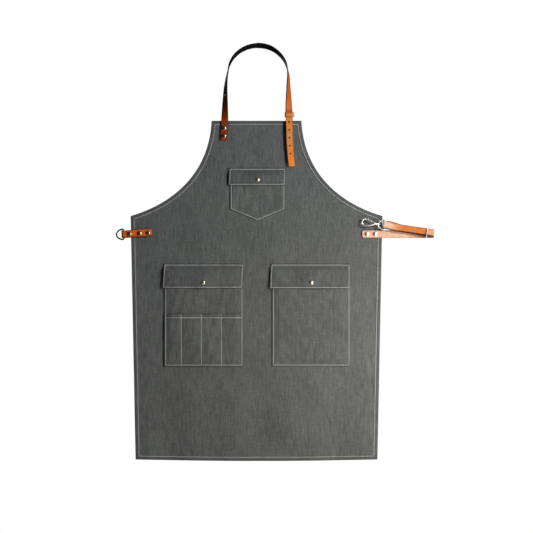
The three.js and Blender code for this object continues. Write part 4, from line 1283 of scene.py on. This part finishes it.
stud = [[0, 11.3], [1.4, 11.25], [2.4, 10.95], [3.1, 10.4], [3.2, 9.9], [2.9, 9.4], [1.7, 9.1], [1.7, 6.3],
        [3.2, 6.2], [3.4, 5.9], [3.4, 4.15], [0, 4.15]]
screw = [[0, 0.15], [3.8, 0.2], [4.2, 0.5], [4.2, 1.3], [1.3, 1.4], [1.3, 4.6], [0, 4.6]]
put_turned("neck_stud_button", stud, TAB_X, FIRST_HOLE, "neck_stud", "snap_brass", 36)
put_turned("neck_stud_foot", screw, TAB_X, FIRST_HOLE, "neck_stud_screw", "snap_brass", 36)

# ---------------------------------------------------------------- ring, slider and hook


def ring_line(reach, tall):
    """A D-shaped line: a straight bar at 0 and a bow reaching out."""
    bar = [(0, v) for v in np.linspace(-tall * 0.88, tall * 0.88, 11)]
    bow = [(reach * math.cos(a), tall * math.sin(a)) for a in np.radians(np.linspace(80, -80, 23))]
    return bar + bow


def wire(line, axes, centre, radius):
    """A closed wire along a flat line of points on two axes."""
    first, second = axes
    path = smooth_path([centre + first * u + second * v for u, v in line], 0.7, closed=True)
    return tube(path, radius, np.cross(first, second), closed=True)


ring = wire(ring_line(15.5, 11.5), (-RING_ALONG, RING_UP), RING_BAR, 1.68)
put("d_ring_wire", *ring, DARK_METAL, "ring", ["d_ring"], "dark_steel", tint=DARK_STEEL, sharp=50)


def put_nickel(name, body, node_name, *shapes, sharp=50):
    put(name, *join_shapes(*shapes), SATIN_METAL, body, [node_name], "nickel", tint=NICKEL, sharp=sharp)


SLIDER_X, SLIDER_RADIUS = 376.3, 1.4
slider_loop = rounded_loop(13.3 - 7.2 + 2 * SLIDER_RADIUS, 22.4 + 2 * SLIDER_RADIUS, 2.4, steps=4)
put_nickel("strap_slider_wire", "slider", "strap_slider",
           wire(slider_loop, (np.array([0.0, -1.0, 0.0]), TILTED), upper_run(SLIDER_X, 10.25), SLIDER_RADIUS))

# the hook's own frame: U points from the eye's bar to the hook's tip, V across the strap, W towards the cloth
HOOK_LEAN = math.radians(1.5)
U = -ALONG * math.cos(HOOK_LEAN) + np.array([0, 1, 0]) * math.sin(HOOK_LEAN)
V = TILTED
W = np.cross(U, V)
HOOK_ORIGIN = upper_run(EYE_X, MIDDLE + WRAP_RADIUS, EYE_LIFT)


def hook_place(points):
    points = np.asarray(points, float)
    return HOOK_ORIGIN + points[..., :1] * U + points[..., 1:2] * V + points[..., 2:3] * W


def turned_along(profile):
    return lathe(profile, HOOK_ORIGIN, axis=U, sides=36)


boss = turned_along([[1.5, 12], [2.7, 12], [3.2, 12.5], [3.2, 15.1], [2.7, 15.6], [1.5, 15.6]])
put_nickel("hook_eye_wire", "eye", "hook_eye", wire(ring_line(13.5, 10.4), (U, V), HOOK_ORIGIN, 1.28), boss)
put_nickel("hook_stem", "hook", "hook_swivel_stem", turned_along(
    [[0, 9.4], [1.4, 9.5], [2.2, 9.9], [2.4, 10.6], [2.2, 11.4], [1.2, 11.8], [1.2, 18.4], [0, 18.4]]))

PIVOT = (22.2, 1.2)
HOOK_LINE = [(23, -1.8), (30, -4.6), (37, -6.5), (43.5, -6.9), (48.4, -4.5), (49.8, 0), (48.3, 4.6),
             (44.8, 6.8), (41.6, 7.1)]
GATE_LINE = [PIVOT, (31, 4.6), (40.9, 7.2)]


def hook_tube(line, start, end, flat=1.0):
    path = smooth_path([(u, v, 0) for u, v in line], 0.6)
    radius = np.linspace(start, end, len(path))
    nose = np.minimum(1, np.sqrt(np.clip((len(path) - 1 - np.arange(len(path))) / 1.5, 0.4, 1)))
    return tube(hook_place(path), radius * nose, W, sides=18, flat=flat)


block = turned_along([[1.5, 16], [2.4, 16], [3.0, 16.4], [3.2, 17.2], [3.2, 19.2], [2.8, 19.8], [3.2, 20.4],
                      [3.2, 23.8], [2.7, 24.8], [1.5, 25]])
put_nickel("hook_claw", "hook", "hook_body", hook_tube(HOOK_LINE, 2.15, 1.75), block)
pivot = hook_place([*PIVOT, 0])
knob = lathe([[0, -1.2], [1.9, -1.2], [1.7, 0.6], [1.9, 1.0], [1.5, 1.5], [0, 1.6]],
             hook_place([37.4, 8, 0]), V, 24)
pivot_hub = lathe([[1.0, -1], [1.7, -1], [1.9, -0.8], [1.9, 0.8], [1.7, 1], [1.0, 1]], pivot, W, 28)
put_nickel("hook_gate_lever", "gate", "hook_gate", hook_tube(GATE_LINE, 1.25, 1.45, 0.8), knob, pivot_hub)
pin = [[0, -3.4], [1.1, -3.4], [1.3, -3.1], [0.9, -2.9], [0.9, 2.9], [1.3, 3.1], [1.1, 3.4], [0, 3.4]]
put_nickel("hook_pin", "hook", "hook_gate_pin", lathe(pin, pivot, W, 24))
COIL_TURNS, COIL_RADIUS = 3, 1.55
turns = np.linspace(0, COIL_TURNS * TAU, 90)
coil = np.column_stack([PIVOT[0] + COIL_RADIUS * np.cos(turns), PIVOT[1] + COIL_RADIUS * np.sin(turns),
                        1.05 + 0.7 * turns / (COIL_TURNS * TAU)])
put_nickel("hook_spring_coil", "hook", "hook_gate_spring", tube(hook_place(coil), 0.13, W, sides=8),
           sharp=None)

# ---------------------------------------------------------------- floor, light and background


def floor():
    """A pale round floor well below the hem, out of the front view."""
    drop = -1290
    turns = np.linspace(0, TAU, 96, endpoint=False)
    rings = [(0.2, 0), (900, 0), (955, -1.5), (960, -6), (0.2, -6)]
    points = np.vstack([
        np.column_stack([radius * np.cos(turns), radius * np.sin(turns), np.full(len(turns), drop + lift)])
        for radius, lift in rings
    ])
    material = bpy.data.materials.new("floor")
    material.use_nodes = True
    tree = material.node_tree
    shader = tree.nodes["Principled BSDF"]
    place = node(tree, "TexCoord").outputs["Object"]
    speckle = cloud(tree, place, (30, 30, 30), 4.0, 0.6)
    tree.links.new(remap(tree, speckle, 0.78, 0.84), shader.inputs["Base Color"])
    shader.inputs["Roughness"].default_value = 0.9
    piece = put("floor", points, band_faces(len(rings), len(turns), wrap_rows=True), material, None)


floor()


def area_light(name, place, aim, size, power, colour=(1, 1, 1)):
    data = bpy.data.lights.new(name, "AREA")
    data.shape = "RECTANGLE"
    data.size, data.size_y = size
    data.energy = power
    data.color = colour
    light = bpy.data.objects.new(name, data)
    bpy.context.collection.objects.link(light)
    light.location = np.array(place) * MM + ORIGIN
    direction = Vector(np.array(aim, float) - np.array(place, float))
    light.rotation_euler = direction.to_track_quat("-Z", "Y").to_euler()


area_light("key", (850, -900, 100), (0, 0, -350), (0.15, 0.15), 11.6, (0.945, 1.0, 1.0))
area_light("low_fill", (500, -400, -600), (0, 0, -350), (0.3, 0.3), 3.05, (1.0, 0.905, 0.825))
area_light("back_fill", (-700, 1500, 200), (0, 0, -350), (0.8, 0.8), 26.0)

world = bpy.data.worlds.new("studio")
bpy.context.scene.world = world
world.use_nodes = True
tree = world.node_tree
tree.nodes.clear()
split = node(tree, "SeparateXYZ", None, Vector=node(tree, "TexCoord").outputs["Generated"])
right, away, up = split.outputs
from_right = remap(tree, right, 0.02, 0.09, -0.6, 0.6)
from_above = remap(tree, up, 0.8, 1.25, -1.0, 1.0)
behind = remap(tree, away, 0.0, 0.3, 0.2, 0.8)
# a softbox in front on the right, which the metal shows as a bright crescent
edges = ((right, 0.0, 1.6, 0.50, 0.57), (right, 1.0, 0.0, 0.84, 0.90), (up, 0.0, 1.0, -0.36, -0.28),
         (up, 1.0, 0.0, 0.42, 0.50), (away, 1.0, 0.0, -0.1, 0.1))
softbox = shading(tree, *edges)
studio = calc(tree, "MULTIPLY_ADD", from_right, from_above, calc(tree, "ADD", behind, softbox))
soft = node(tree, "Background", None, Color=(1, 1, 1, 1), Strength=studio)
paper = node(tree, "Background", None, Color=(1, 1, 1, 1), Strength=1.0)
seen = node(tree, "LightPath").outputs["Is Camera Ray"]
mixed = node(tree, "MixShader", None, i0=seen, i1=soft.outputs[0], i2=paper.outputs[0])
output = node(tree, "OutputWorld")
tree.links.new(mixed.outputs[0], output.inputs[0])

bpy.context.scene.view_settings.view_transform = "Standard"
